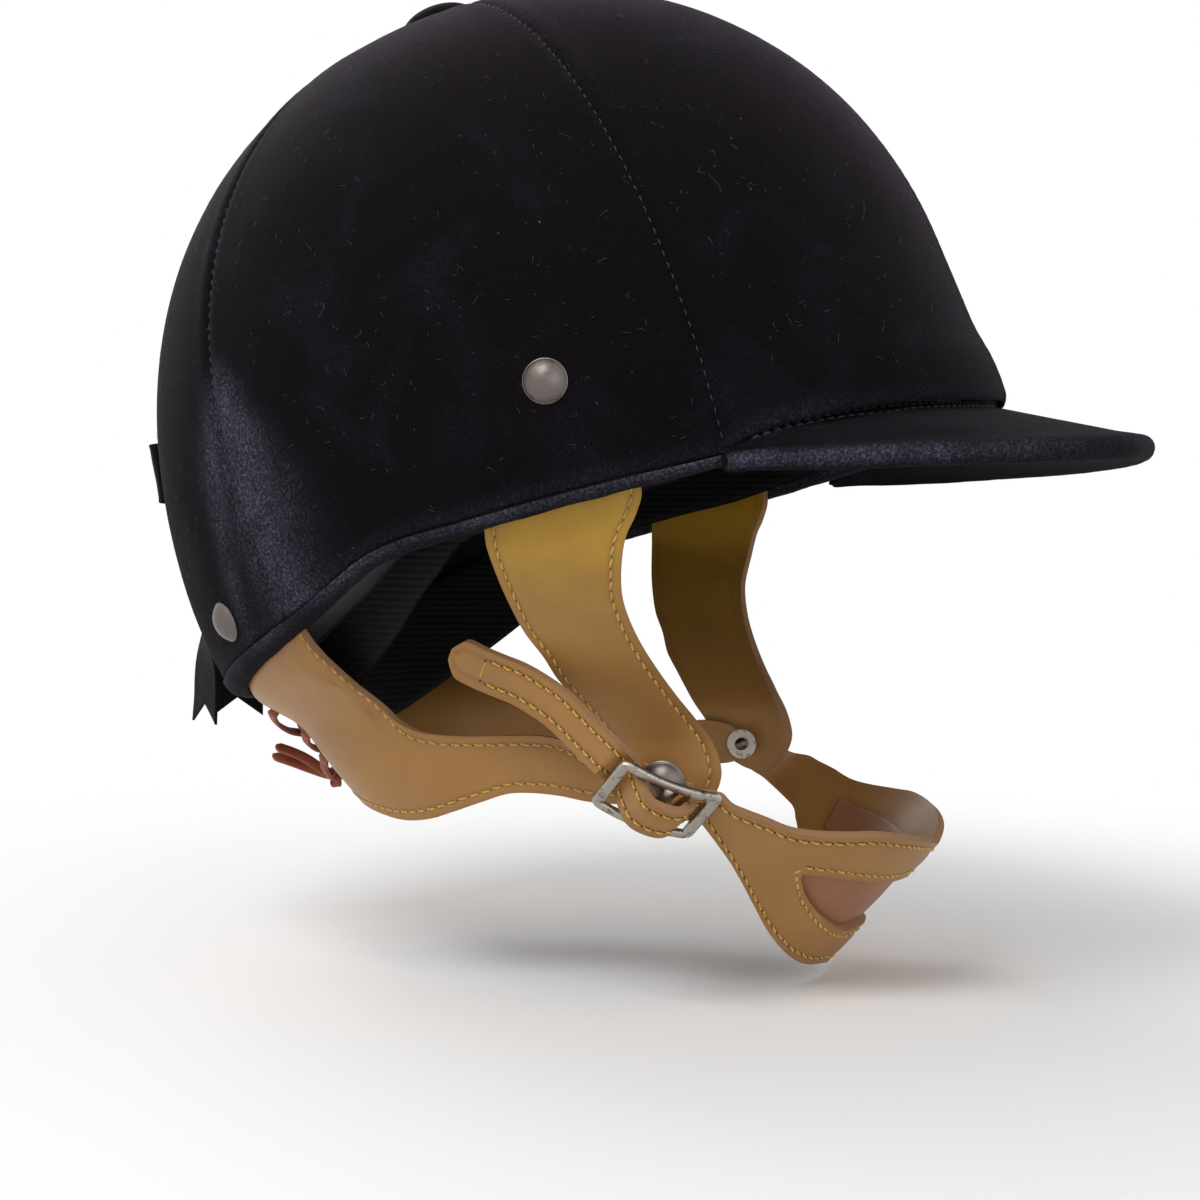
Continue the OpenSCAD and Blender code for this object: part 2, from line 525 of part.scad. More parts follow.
// Lace holes near the nape straps' back edges
lace_turn = 164;
lace_top = nape_drop(lace_turn) * 0.88;
lace_pitch = nape_drop(lace_turn) * 0.063;
lace_hole_d = lace_w + 2.8;
function lace_z(i) = -lace_top - i * lace_pitch;
function lace_way(turn, z) =
    unit(cross(harness_point(turn, z + 1, 0) - harness_point(turn, z - 1, 0),
        harness_point(turn + 1, z, 0) - harness_point(turn - 1, z, 0)));
module nape_strap() {
    color(leather) difference() {
        skin([for (turn = nape_rows) nape_ring(turn)]);
        rivet_holes([1]);
        jaw_hole();
        for (i = [0 : lace_holes - 1]) translate(harness_point(lace_turn, lace_z(i), strap_t / 2))
            aim(lace_way(lace_turn, lace_z(i))) translate([0, 0, -6]) cylinder(d = lace_hole_d, h = 12, $fn = 24);
    }
}
module nape_strap_right() {
    nape_strap();
}
module nape_strap_left() {
    mirror([1, 0, 0]) nape_strap();
}

// Jaw rivets: the right one holds the buckle's loop, the left one the end of the chin strap
seat_gap = 0.25;
jaw_in = jaw_half - 2 * strap_t - 0.4;
module jaw_rivet(seat) {
    color(nickel) translate([0, jaw_point.y, jaw_point.z]) rotate([0, -90, 0]) {
        translate([0, 0, jaw_half + seat]) {
            dome_head(rivet_d, rivet_h - 0.4);
            translate([0, 0, -0.01]) cylinder(d = rivet_d + 1, h = 0.5, $fn = 48);
        }
        translate([0, 0, jaw_in - washer_t - 1]) cylinder(d = shank_d, h = jaw_half + seat - jaw_in + washer_t + 1.2, $fn = 32);
    }
}
loop_seat = loop_t + 2 * seat_gap;
module jaw_rivet_right() {
    jaw_rivet(loop_seat);
}
module jaw_rivet_left() {
    mirror([1, 0, 0]) jaw_rivet(strap_t + 2 * seat_gap);
}
module jaw_washers() {
    color(nickel) for (s = [0, 1]) mirror([s, 0, 0])
        translate([0, jaw_point.y, jaw_point.z]) rotate([0, -90, 0])
            translate([0, 0, jaw_in - layer_gap - washer_t]) difference() {
                cylinder(d = washer_d, h = washer_t, $fn = 48);
                translate([0, 0, -1]) cylinder(d = shank_d + 2 * shank_clear, h = washer_t + 2, $fn = 32);
            }
}

// Chin strap: a band that leans under the chin, given by the turn round the chin and the distance up its face
chin_start = jaw_fwd - 5;
chin_side = jaw_half + 2.5;
chin_rise = [[0, 0], [30, 0.109], [60, 0.463], [90, 0.853], [110, 1.03]];
chin_lean = [[0, 41], [40, 40], [70, 35], [90, 27]];
chin_power = 0.9;
function chin_plan(turn) = [chin_start + (chin_fwd - chin_start) * pow(cos(turn), chin_power),
    sign(turn) * chin_side * pow(abs(sin(turn)), chin_power)];
function chin_out(turn) =
    let (d = chin_plan(turn + 1) - chin_plan(turn - 1), n = [d[1], -d[0]] / norm(d)) n[0] > 0 ? n : -n;
function chin_face(turn) = let (n = chin_out(turn), lean = curve(chin_lean, abs(turn)))
    place(n[0] * cos(lean), n[1] * cos(lean), -sin(lean));
function chin_point(turn, up, inset) =
    let (c = chin_plan(turn), n = chin_out(turn), lean = curve(chin_lean, abs(turn)))
    let (mid = -chin_drop + (chin_drop - jaw_drop) * curve(chin_rise, abs(turn)))
    place(c[0] + n[0] * up * sin(lean), c[1] + n[1] * up * sin(lean), mid + up * cos(lean)) - chin_face(turn) * inset;
// Edges of the strap and of its window, in shares of its width at the chin
chin_high = [[0, 0.505], [23, 0.574], [34, 0.551], [41, 0.475], [49, 0.377], [55, 0.321], [61, 0.309], [67, 0.29],
    [73, 0.28]];
chin_low = [[0, -0.494], [13, -0.475], [29, -0.481], [41, -0.467], [51, -0.412], [59, -0.3], [64.5, -0.187],
    [69, -0.09], [73, -0.01]];
window_high = [[0, 0.233], [29, 0.214], [40, 0.158], [48, 0.085]];
window_low = [[0, -0.16], [6, -0.169], [15, -0.191], [26, -0.158], [34, -0.125], [41, -0.076], [46, -0.01], [48, 0.045]];
window_end = 48;
function chin_lanes(turn) =
    let (a = abs(turn), top = curve(chin_high, a), low = curve(chin_low, a))
    let (past = smooth((a - window_end) / 16))
    let (high = a <= window_end ? curve(window_high, a) : curve(window_high, window_end) * (1 - past) + (top * 2 + low) / 3 * past)
    let (deep = a <= window_end ? curve(window_low, a) : curve(window_low, window_end) * (1 - past) + (top + low * 2) / 3 * past)
    [for (share = [top, high, deep, low]) share * chin_w];
function chin_row(turn, inset) = [for (up = chin_lanes(turn)) chin_point(turn, up, inset)];

// Buckle frame: its middle, its length direction towards the chin, its width direction and its outward face
buckle_mid = jaw_point + place(1.2, buckle_out, -2.6);
buckle_fore = unit(place(0.8, -0.48, -0.35));
buckle_lift = place(0.629, 0.481, 0.611);
buckle_up = unit(buckle_lift - (buckle_lift * buckle_fore) * buckle_fore);
buckle_out_way = let (n = cross(buckle_fore, buckle_up)) n.x < 0 ? n : -n;
function on_buckle(fore, out, up = 0) = buckle_mid + fore * buckle_fore + out * buckle_out_way + up * buckle_up;
bar_reach = (buckle_l - bar_w) / 2;
bar_r = 1.5;
bar_clear = 0.55;
weave_gap = 0.45;
under = -(bar_t / 2 + 1 + strap_t / 2);
over = buckle_bow + bar_r + loop_t + strap_t / 2 + 2 * weave_gap;
// Middle line of the strap through the buckle, then along the free tail
weave = [on_buckle(bar_reach + 3.5, under), on_buckle(bar_reach, under), on_buckle(bar_reach - 3.4, under + 1.7),
    on_buckle(7.4, over - 4), on_buckle(4.6, over - 0.9), on_buckle(0, over), on_buckle(-4.6, over - 0.9),
    on_buckle(-7.4, over - 4, 0.6), on_buckle(3.4 - bar_reach, under + 1.7, 1.8), on_buckle(-bar_reach, under, 3.4),
    on_buckle(-bar_reach - 4, under, 5.4)];
tail_mid = [for (p = [[-16, 20.3, 13.2], [-21, 18.9, 17.3], [-27, 17.4, 22], [-33, 16.5, 25.6], [-39, 15.9, 28.6],
    [-45, 15.7, 30.7], [-51, 15.6, 32.9], [-56, 15.3, 35.1], [-58, 15.2, 36], [-59.6, 15.1, 36.8]])
    place(jaw_fwd + p[0], jaw_half + p[1], -jaw_drop + p[2])];
tail_lift = place(0.42, 0.3, 0.86);
tail_half = [1, 1, 1, 1, 1, 1, 1, 0.98, 0.7, 0.3];
// Middle line of the fixed end at the left jaw rivet, as if it were on the right
end_face = jaw_half + seat_gap + strap_t / 2;
end_mid = [place(jaw_fwd + 11.4, end_face + 1.6, -jaw_drop - 8.4), place(jaw_fwd + 5.8, end_face, -jaw_drop - 4.3),
    place(jaw_fwd, end_face, -jaw_drop), place(jaw_fwd - 3.4, end_face, -jaw_drop + 2.5),
    place(jaw_fwd - 6, end_face, -jaw_drop + 4.4), place(jaw_fwd - 7.4, end_face, -jaw_drop + 5.4)];
end_lift = [place(0.5, 0.3, 0.78), place(0.58, 0.01, 0.81), place(0.59, 0, 0.81), place(0.59, 0, 0.81),
    place(0.59, 0, 0.81), place(0.59, 0, 0.81)];
end_half = [1, 1, 1, 0.97, 0.75, 0.4];
function strip_row(mid, ahead, lift, half, inset) =
    let (side = unit(lift - (lift * ahead) * ahead), n = cross(ahead, side), out = n.x < 0 ? n : -n)
    [for (k = [1, 1 / 3, -1 / 3, -1]) mid + side * half * k + out * (strap_t / 2 - inset)];
function strip_rows(mids, lifts, halves, inset) = [for (i = [0 : len(mids) - 1])
    strip_row(mids[i], along(mids, i), lifts[min(i, len(lifts) - 1)],
        strap_w / 2 * halves[min(i, len(halves) - 1)], inset)];
chin_span = 69;
chin_turns = [for (k = [-23 : 23]) k * chin_span / 23];
function right_rows(inset) =
    strip_rows(concat(even(weave, 22), tail_mid), [for (i = [0 : 32]) i < 22 ? buckle_up : tail_lift],
        concat([for (i = [0 : 22]) 1], tail_half), inset);
function left_rows(inset) = [for (r = strip_rows(end_mid, end_lift, end_half, inset)) mirrored(r)];
function chin_grid(inset) =
    concat(reversed(left_rows(inset)), [for (a = chin_turns) chin_row(a, inset)], right_rows(inset));
window_first = len(end_mid) + round((1 - window_end / chin_span) * 23);
module chin_strap() {
    color(leather) difference() {
        slab(chin_grid(0), chin_grid(strap_t), 1, window_first, window_first + round(window_end / chin_span * 46));
        mirror([1, 0, 0]) jaw_hole();
    }
}
// Cup: a smooth leather dish sewn behind the window
cup_lap = 5;
function cup_row(turn, inset) =
    let (lanes = chin_lanes(min(abs(turn), window_end)), high = lanes[1] + cup_lap, low = lanes[2] - cup_lap)
    [for (j = [0 : 4]) chin_point(turn, high + (low - high) * j / 4, strap_t + seat_gap + inset)];
module chin_cup() {
    color(cup_brown) slab([for (k = [-14 : 14]) cup_row(k * 53 / 14, 0)], [for (k = [-14 : 14]) cup_row(k * 53 / 14, cup_t)]);
}

// Slide buckle: a bowed frame with a round middle bar, and the leather loop that holds the bar at the rivet
function bow_rise(fore) = buckle_bow * (1 - pow(fore / (buckle_l / 2), 2));
corner_r = 2.6;
frame_half_l = bar_reach;
frame_half_w = (buckle_w - bar_w * 0.8) / 2;
function frame_side(sx, sy) = let (cx = frame_half_l - corner_r, cy = frame_half_w - corner_r)
    [for (a = [0 : 30 : 90]) let (b = sx * sy > 0 ? a : 90 - a)
        [sx * (cx + corner_r * cos(b)), sy * (cy + corner_r * sin(b))]];
frame_line = concat(frame_side(1, 1), [for (f = [8, 3, -3, -8]) [f, frame_half_w]], frame_side(-1, 1),
    [[-frame_half_l, 0]], frame_side(-1, -1), [for (f = [-8, -3, 3, 8]) [f, -frame_half_w]], frame_side(1, -1),
    [[frame_half_l, 0]]);
function frame_ring(i) =
    let (n = len(frame_line), p = frame_line[i], d = frame_line[(i + 1) % n] - frame_line[(i + n - 1) % n])
    let (side = [d[1], -d[0]] / norm(d), w = abs(side[0]) > 0.8 ? bar_w / 2 : bar_w * 0.4)
    [for (c = [[1, -0.5], [1, 0.2], [0.45, 1], [-0.45, 1], [-1, 0.2], [-1, -0.5], [-0.5, -1], [0.5, -1]])
        on_buckle(p[0] + side[0] * c[0] * w, bow_rise(p[0]) + c[1] * bar_t / 2, p[1] + side[1] * c[0] * w)];
module buckle_frame() {
    color(nickel) skin([for (i = [0 : len(frame_line) - 1]) frame_ring(i)], true);
}
module buckle_bar() {
    reach = frame_half_w - bar_w * 0.4 - 0.02;
    color(nickel) translate(on_buckle(0, buckle_bow)) aim(buckle_up)
        translate([0, 0, -reach]) cylinder(r = bar_r, h = 2 * reach, $fn = 32);
}
// The loop's base lies flat on the jaw joint round the rivet; its top wraps the middle bar
loop_run = rivet_d / 2 + 0.5 + loop_t + seat_gap;
function loop_base(fore) = jaw_point + place(fore * 0.93, seat_gap + loop_t / 2, -fore * 0.37);
loop_wrap = bar_r + bar_clear + loop_t / 2;
loop_arc = [36 : 23 : 174];
loop_pts = concat([loop_base(-loop_run), loop_base(-4), loop_base(0), loop_base(4), loop_base(loop_run)],
    [(loop_base(loop_run + 1) + on_buckle(5.2, buckle_bow - 3.4)) / 2],
    [for (a = loop_arc) on_buckle(loop_wrap * cos(a), buckle_bow + loop_wrap * sin(a))],
    [(loop_base(-loop_run - 1) + on_buckle(-5.2, buckle_bow - 3.4)) / 2]);
loop_across = concat([for (i = [0 : 4]) place(0.37, 0, 0.93)], [buckle_up + place(0.37, 0, 0.93)],
    [for (a = loop_arc) buckle_up], [buckle_up + place(0.37, 0, 0.93)]);
module buckle_loop() {
    color(leather) difference() {
        ribbon(loop_pts, loop_across, [loop_w / 2], loop_t, true);
        translate([-jaw_half - loop_t - 1, jaw_point.y, jaw_point.z]) rotate([0, 90, 0])
            cylinder(d = shank_d + 2 * shank_clear, h = 6, $fn = 32);
    }
}

// Nape lace: one lace from a bar behind the top holes, crossed behind the neck and out of each hole in turn.
// Spots are given by the turn from the middle of the back, the distance off the straps' outer face and the height.
lace_side = 180 - lace_turn;
lace_bulge = 3.6;
lace_over = 3;
function lace_spot(turn, off, z) =
    let (q = harness_point(180 - abs(turn), z, 0) + lace_way(180 - abs(turn), z) * off) turn > 0 ? q : [-q.x, q.y, q.z];
// One crossing from a hole on one side to the next hole down on the other, over or under its twin
lace_steps = [[1, 0.25, 0, 0], [0.86, 0.42, 0.1, 0.02], [0.53, 0.72, 0.6, 0.2], [0.2, 0.95, 0.95, 0.38], [0, 1, 1, 0.5],
    [-0.2, 0.96, 1, 0.62], [-0.4, 0.76, 0.9, 0.74], [-0.53, 0.3, 0.4, 0.8], [-0.57, -1.2, 0, 0.86],
    [-0.68, -4.1, 0, 0.94], [-0.86, -4.6, 0, 1], [-0.97, -3.9, 0, 1], [-1, -2, 0, 1]];
function crossing(i, side, lift) = [for (k = lace_steps)
    lace_spot(side * k[0] * lace_side, (k[1] > 0 ? lace_bulge : 1) * k[1] + k[2] * lift, lace_z(i + k[3]))];
lace_last = lace_holes - 1;
function lace_half(side, first_over) = concat(
    [lace_spot(0.35 * side * lace_side, -5, lace_z(0)), lace_spot(0.8 * side * lace_side, -4.8, lace_z(0)),
        lace_spot(0.97 * side * lace_side, -3.9, lace_z(0)), lace_spot(side * lace_side, -2, lace_z(0))],
    [for (i = [0 : lace_last - 1]) each crossing(i, i % 2 == 0 ? side : -side, i % 2 == first_over ? lace_over : 0)],
    let (s = lace_last % 2 == 0 ? side : -side)
    [for (k = [[1, 0.9, 0], [0.84, 2.4, 0.12], [0.58, 5.4, 0.32], [0.27, 8.2, 0.5]])
        lace_spot(s * k[0] * lace_side, k[1], lace_z(lace_last + k[2]))]);
lace_path = concat(reversed(lace_half(1, 0)), lace_half(-1, 1));
module nape_lace() {
    pts = even(lace_path, 2 * len(lace_path) - 2);
    color(lace_brown) ribbon(pts, [for (p = pts) unit([0, 0.77, 0.64])], [lace_w / 2], lace_t);
}
knot_mid = lace_spot(0.001, 8.1, lace_z(lace_last + 0.52));
module lace_knot() {
    color(lace_brown) translate(knot_mid) rotate([-35, 0, 0]) scale([1.15, 0.85, 1]) sphere(4.4, $fn = 24);
}
module lace_end(steps) {
    color(lace_brown) ribbon(even([for (s = steps) knot_mid + s], 8), [[0.3, 0, 1]], [lace_w / 2], lace_t);
}
module lace_end_upper() {
    lace_end([place(-4.2, 2.4, 1.4), place(-9, 3.4, 4.2), place(-15.5, 4.6, 6.6), place(-22, 6, 8.5)]);
}
module lace_end_lower() {
    lace_end([place(-4.4, -2.2, 0.4), place(-10, -3, 2.2), place(-18, -3.8, 4.2), place(-26, -5, 5.5)]);
}

// Ribbon bow on the back of the crown
bow_z = -28;
bow_out = 3.7;
bow_mid = [0, crown_point(180, bow_z, 0).y + bow_out, bow_z];
module bow_knot() {
    color(black_fabric) translate(bow_mid) scale([1.15, 0.66, 1.3]) sphere(5, $fn = 24);
}
function bow_loop_pts() = [for (p = [[6, -1.6, 0.6], [13, -2.4, 2.8], [21, -3.8, 5], [26.6, -4.8, 6.4], [29, -3.8, 6.6],
    [26.6, -1.6, 5.8], [19.5, 0.8, 4], [12, 1.9, 1.6], [6, 1.4, -0.2]]) bow_mid + p];
bow_loop_half = [0.32, 0.62, 0.88, 0.98, 1, 0.98, 0.88, 0.62, 0.32];
module bow_loop() {
    keyed = [for (i = [0 : len(bow_loop_half) - 1]) [i, bow_loop_half[i]]];
    color(black_fabric) ribbon(even(bow_loop_pts(), 20), [[0.1, 0.13, 1]],
        [for (k = [0 : 20]) ribbon_w / 2 * curve(keyed, k * 0.4)], ribbon_t);
}
module bow_loop_left() {
    bow_loop();
}
module bow_loop_right() {
    mirror([1, 0, 0]) bow_loop();
}
function bow_tail_pts() = [for (p = [[2.6, -0.9, -6], [6, -3.6, -16], [9.2, -8, -30], [10.6, -11.4, -42],
    [11.6, -12.6, -54], [12.2, -12.9, -65], [12.6, -12.6, -76]]) bow_mid + p];
bow_tail_twist = [[0, 4], [6, 6], [11, 44], [15, 50]];
bow_tail_half = [[0, 0.26], [3, 0.62], [7, 0.92], [15, 1]];
module bow_tail() {
    color(black_fabric) ribbon(even(bow_tail_pts(), 15),
        [for (k = [0 : 15]) let (a = curve(bow_tail_twist, k)) [cos(a), -sin(a), 0]],
        [for (k = [0 : 15]) ribbon_w / 2 * curve(bow_tail_half, k)], ribbon_t);
}
module bow_tail_left() {
    bow_tail();
}
module bow_tail_right() {
    mirror([1, 0, 0]) bow_tail();
}

cover_gores();
shell();
liner();
crown_lining();
headband();
hem_binding();
peak_core();
peak_cover();
front_pad();
button();
button_shank();
shell_rivets();
rivet_washers();
side_strap_right();
side_strap_left();
nape_strap_right();
nape_strap_left();
jaw_rivet_right();
jaw_rivet_left();
jaw_washers();
nape_lace();
lace_knot();
lace_end_upper();
lace_end_lower();
bow_knot();
bow_loop_right();
bow_loop_left();
bow_tail_right();
bow_tail_left();
chin_strap();
chin_cup();
buckle_loop();
buckle_frame();
buckle_bar();
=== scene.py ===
"""Riding helmet: velvet cover, stiff peak, leather harness, nape lacing and ribbon bow.

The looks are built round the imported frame, in its axes: the front faces -Y, the wearer's right is -X
and up is +Z. Every size in a class is a real one in millimetres; meshes are written in metres.
A turn is an angle in degrees round the crown, from the front towards the wearer's right.
"""

import logging
import math
from dataclasses import dataclass
from enum import Enum
from typing import Any, Sequence

import bmesh
import bpy
import numpy as np
from mathutils import Matrix, Vector, noise


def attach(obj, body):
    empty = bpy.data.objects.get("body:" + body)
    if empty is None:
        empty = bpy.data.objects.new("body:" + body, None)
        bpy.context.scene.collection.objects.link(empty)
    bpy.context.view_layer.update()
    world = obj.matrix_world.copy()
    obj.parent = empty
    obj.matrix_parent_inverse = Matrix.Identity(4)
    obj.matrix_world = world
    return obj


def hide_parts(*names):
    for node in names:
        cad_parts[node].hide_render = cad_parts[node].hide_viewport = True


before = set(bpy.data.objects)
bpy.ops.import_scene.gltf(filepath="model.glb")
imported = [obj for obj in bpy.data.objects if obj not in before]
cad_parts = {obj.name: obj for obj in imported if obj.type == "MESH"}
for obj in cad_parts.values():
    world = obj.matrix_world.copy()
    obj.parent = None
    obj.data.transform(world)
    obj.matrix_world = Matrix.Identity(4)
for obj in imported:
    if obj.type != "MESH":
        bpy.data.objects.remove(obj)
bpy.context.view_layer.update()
LOG = logging.getLogger("riding_helmet")
MM = 0.001
Array = np.ndarray


# Numbers and curves


def unit(v: Array) -> Array:
    """Vectors scaled to length one, along the last axis."""
    return v / np.maximum(np.linalg.norm(v, axis=-1, keepdims=True), 1e-9)


def smooth(t: Array | float) -> Array:
    """Smooth step from 0 to 1."""
    c = np.clip(t, 0.0, 1.0)
    return c * c * (3 - 2 * c)


def hump(distance: Array, width: float) -> Array:
    """Bell curve that is 1 at no distance and fades over a width."""
    return np.exp(-((distance / width) ** 2))


def curve(knots: Sequence[Sequence[float]], at: Array | float) -> Array:
    """Smooth curve through (position, value) knots, held at its end values outside them.

    Args:
        knots: Positions in rising order, each with its value.
        at: Where the curve is read.

    Returns:
        The curve's values, in the shape of at.
    """
    table = np.asarray(knots, float)
    return spline(table[:, 0], table[:, 1], np.asarray(at, float))


def spline(places: Array, values: Array, at: Array) -> Array:
    """Cubic curve with averaged slopes through values, which may be points.

    Args:
        places: Positions of the values, in rising order.
        values: One number or one point for each position.
        at: Where the curve is read.

    Returns:
        The values there.
    """
    last = len(places) - 1
    t = np.clip(at, places[0], places[-1])
    i = np.clip(np.searchsorted(places, t, side="right") - 1, 0, last - 1)
    k = np.arange(last + 1)
    a, b = np.maximum(k - 1, 0), np.minimum(k + 1, last)
    wide = (slice(None),) + (None,) * (values.ndim - 1)
    slopes = (values[b] - values[a]) / (places[b] - places[a])[wide]
    h = places[i + 1] - places[i]
    s = (t - places[i]) / h
    if values.ndim > 1:
        h, s = h[..., None], s[..., None]
    s2, s3 = s * s, s * s * s
    near, far = (2 * s3 - 3 * s2 + 1) * values[i], (3 * s2 - 2 * s3) * values[i + 1]
    return near + far + (s3 - 2 * s2 + s) * h * slopes[i] + (s3 - s2) * h * slopes[i + 1]


def even(points: Sequence[Sequence[float]] | Array, count: int) -> Array:
    """Smooth curve through points, read at count + 1 even shares of their list.

    Args:
        points: Points that the curve passes.
        count: Number of steps.

    Returns:
        The count + 1 points.
    """
    table = np.asarray(points, float)
    places = np.arange(len(table), dtype=float)
    return spline(places, table.reshape(len(table), -1), np.linspace(0, len(table) - 1, count + 1)).reshape(
        (count + 1,) + table.shape[1:]
    )


def place(ahead: Array | float, right: Array | float, up: Array | float) -> Array:
    """Point or direction given as reach ahead, reach to the wearer's right and height."""
    ahead, right, up = np.broadcast_arrays(ahead, right, up)
    return np.stack([-right, -ahead, up], -1).astype(float)


def mirrored(points: Array) -> Array:
    """The same points on the wearer's other side."""
    return points * np.array([-1.0, 1.0, 1.0])


def wobble(points: Array, grain: float, seed: float) -> Array:
    """Soft noise from -1 to 1 at points in millimetres, with a grain of that size."""
    flat = points.reshape(-1, 3) / grain + seed
    return np.array([noise.noise(Vector(p)) for p in flat]).reshape(points.shape[:-1])


def square_to(ahead: Array, across: Array) -> Array:
    """Unit direction across, made square to the direction ahead."""
    return unit(across - (across * ahead).sum(-1, keepdims=True) * ahead)


def around(count: int) -> Array:
    """Angles of points spaced evenly round a circle, in radians."""
    return np.linspace(0, 2 * math.pi, count, endpoint=False)


def along(points: Array, closed: bool = False) -> Array:
    """Directions along a line of points.

    Args:
        points: Points of the line.
        closed: Whether its last point joins the first.

    Returns:
        Unit directions.
    """
    if closed:
        return unit(np.roll(points, -1, 0) - np.roll(points, 1, 0))
    k = np.arange(len(points))
    return unit(points[np.minimum(k + 1, len(points) - 1)] - points[np.maximum(k - 1, 0)])


def srgb(code: str) -> tuple[float, float, float, float]:
    """Linear colour of an sRGB hex code."""
    parts = [int(code[k : k + 2], 16) / 255 for k in (1, 3, 5)]
    return (*[c / 12.92 if c <= 0.04045 else ((c + 0.055) / 1.055) ** 2.4 for c in parts], 1.0)


# Meshes


@dataclass
class Solid:
    """Points in millimetres, faces, and the number of each face's finish."""

    points: Array
    faces: list[tuple[int, ...]]
    finish: list[int]

    def mirror(self) -> "Solid":
        """The same solid on the wearer's other side."""
        return Solid(mirrored(self.points), [f[::-1] for f in self.faces], list(self.finish))


def joined(solids: Sequence[Solid]) -> Solid:
    """Several solids as one.

    Args:
        solids: The solids, which keep their finishes.

    Returns:
        One solid.
    """
    points, faces, finish, start = [], [], [], 0
    for s in solids:
        points.append(s.points)
        faces += [tuple(k + start for k in f) for f in s.faces]
        finish += s.finish
        start += len(s.points)
    return Solid(np.concatenate(points), faces, finish)


def slab(outer: Array, inner: Array, holes: Array | None = None, wrap: bool = False) -> Solid:
    """Solid between two grids of points, with walls round its edges and round its holes.

    Args:
        outer: Grid of rows, columns and points for the face that shows.
        inner: The matching grid behind it.
        holes: Cells that are left out.
        wrap: Whether the last row joins the first.

    Returns:
        The solid, with finish 0 on both faces and finish 1 on its walls.
    """
    n, m = outer.shape[:2]
    rows = n if wrap else n - 1
    kept = np.ones((rows, m - 1), bool) if holes is None else ~holes
    back = n * m
    faces, finish = [], []

    def is_kept(i: int, j: int) -> bool:
        """Whether the cell exists."""
        i = i % rows if wrap else i
        return 0 <= i < rows and 0 <= j < m - 1 and bool(kept[i, j])

    for i, j in zip(*np.nonzero(kept)):
        i, j = int(i), int(j)
        a, b = i * m + j, i * m + j + 1
        d, c = (i + 1) % n * m + j, (i + 1) % n * m + j + 1
        faces += [(a, b, c, d), (back + d, back + c, back + b, back + a)]
        finish += [0, 0]
        for (p, q), (di, dj) in (((b, a), (-1, 0)), ((d, c), (1, 0)), ((a, d), (0, -1)), ((c, b), (0, 1))):
            if not is_kept(i + di, j + dj):
                faces.append((p, q, back + q, back + p))
                finish.append(1)
    return Solid(np.concatenate([outer.reshape(-1, 3), inner.reshape(-1, 3)]), faces, finish)


def used_points(solid: Solid) -> Array:
    """Numbers of the points that a solid's faces use."""
    return np.unique(np.concatenate([np.array(f) for f in solid.faces]))


def kept_only(solid: Solid, kept: Array) -> Solid:
    """The solid with only the points whose numbers are kept."""
    number = {int(k): i for i, k in enumerate(kept)}
    return Solid(solid.points[kept], [tuple(number[k] for k in f) for f in solid.faces], solid.finish)


def loft(rings: Array, wrap: bool = False) -> Solid:
    """Skin over closed rings of points, wrapped round or capped at both ends.

    Args:
        rings: Rings, each with the same number of points.
        wrap: Whether the last ring joins the first.

    Returns:
        The solid.
    """
    n, m = rings.shape[:2]
    faces = []
    for i in range(n if wrap else n - 1):
        near, far = i * m, (i + 1) % n * m
        faces += [(near + j, near + (j + 1) % m, far + (j + 1) % m, far + j) for j in range(m)]
    if not wrap:
        faces += [tuple(range(m))[::-1], tuple(range((n - 1) * m, n * m))]
    return Solid(rings.reshape(-1, 3), faces, [0] * len(faces))


def lathe(profile: Sequence[tuple[float, float]], base: Array, way: Array, sides: int = 96) -> Solid:
    """Turned solid from (radius, height) steps along a direction from its base.

    Args:
        profile: Radius and height of each step.
        base: Where height is 0.
        way: Direction of the axis.
        sides: Points in each ring.

    Returns:
        The solid.
    """
    way = unit(way)
    side = unit(np.cross(way, [0.3, 0.9, 0.2]))
    turn = around(sides)
    round_way = np.cos(turn)[:, None] * side + np.sin(turn)[:, None] * np.cross(way, side)
    return loft(np.array([base + r * round_way + h * way for r, h in profile]))


def oval(
    ahead: Array, across: Array, half_w: Array | float, half_t: Array | float, sides: int, square: float
) -> Array:
    """Offsets of a squared oval round each point of a line.

    Args:
        ahead: Direction of the line at each point.
        across: Direction across it.
        half_w: Half widths.
        half_t: Half thicknesses.
        sides: Points in each oval.
        square: Power of the oval: 2 is round.

    Returns:
        Offsets from the line, a ring for each point.
    """
    side = square_to(ahead, across)
    out = np.cross(ahead, side)
    a = around(sides)
    c, s = np.cos(a), np.sin(a)
    u, v = np.sign(c) * np.abs(c) ** (2 / square), np.sign(s) * np.abs(s) ** (2 / square)
    return (
        side[:, None] * u[None, :, None] * np.reshape(half_w, (-1, 1, 1))
        + out[:, None] * v[None, :, None] * np.reshape(half_t, (-1, 1, 1))
    )


def sweep(
    points: Array,
    across: Array,
    half_w: Array | float,
    half_t: Array | float,
    sides: int = 12,
    square: float = 3.0,
    closed: bool = False,
) -> Solid:
    """Solid of a squared oval section along points, each with a direction across it.

    Args:
        points: Points of the line.
        across: Direction across it.
        half_w: Half width.
        half_t: Half thickness.
        sides: Points in each section.
        square: Power of the section: 2 is round.
        closed: Whether the line is a loop.

    Returns:
        The solid.
    """
    across = np.broadcast_to(across, points.shape)
    section = oval(along(points, closed), across, half_w, half_t, sides, square)
    return loft(points[:, None] + section, closed)


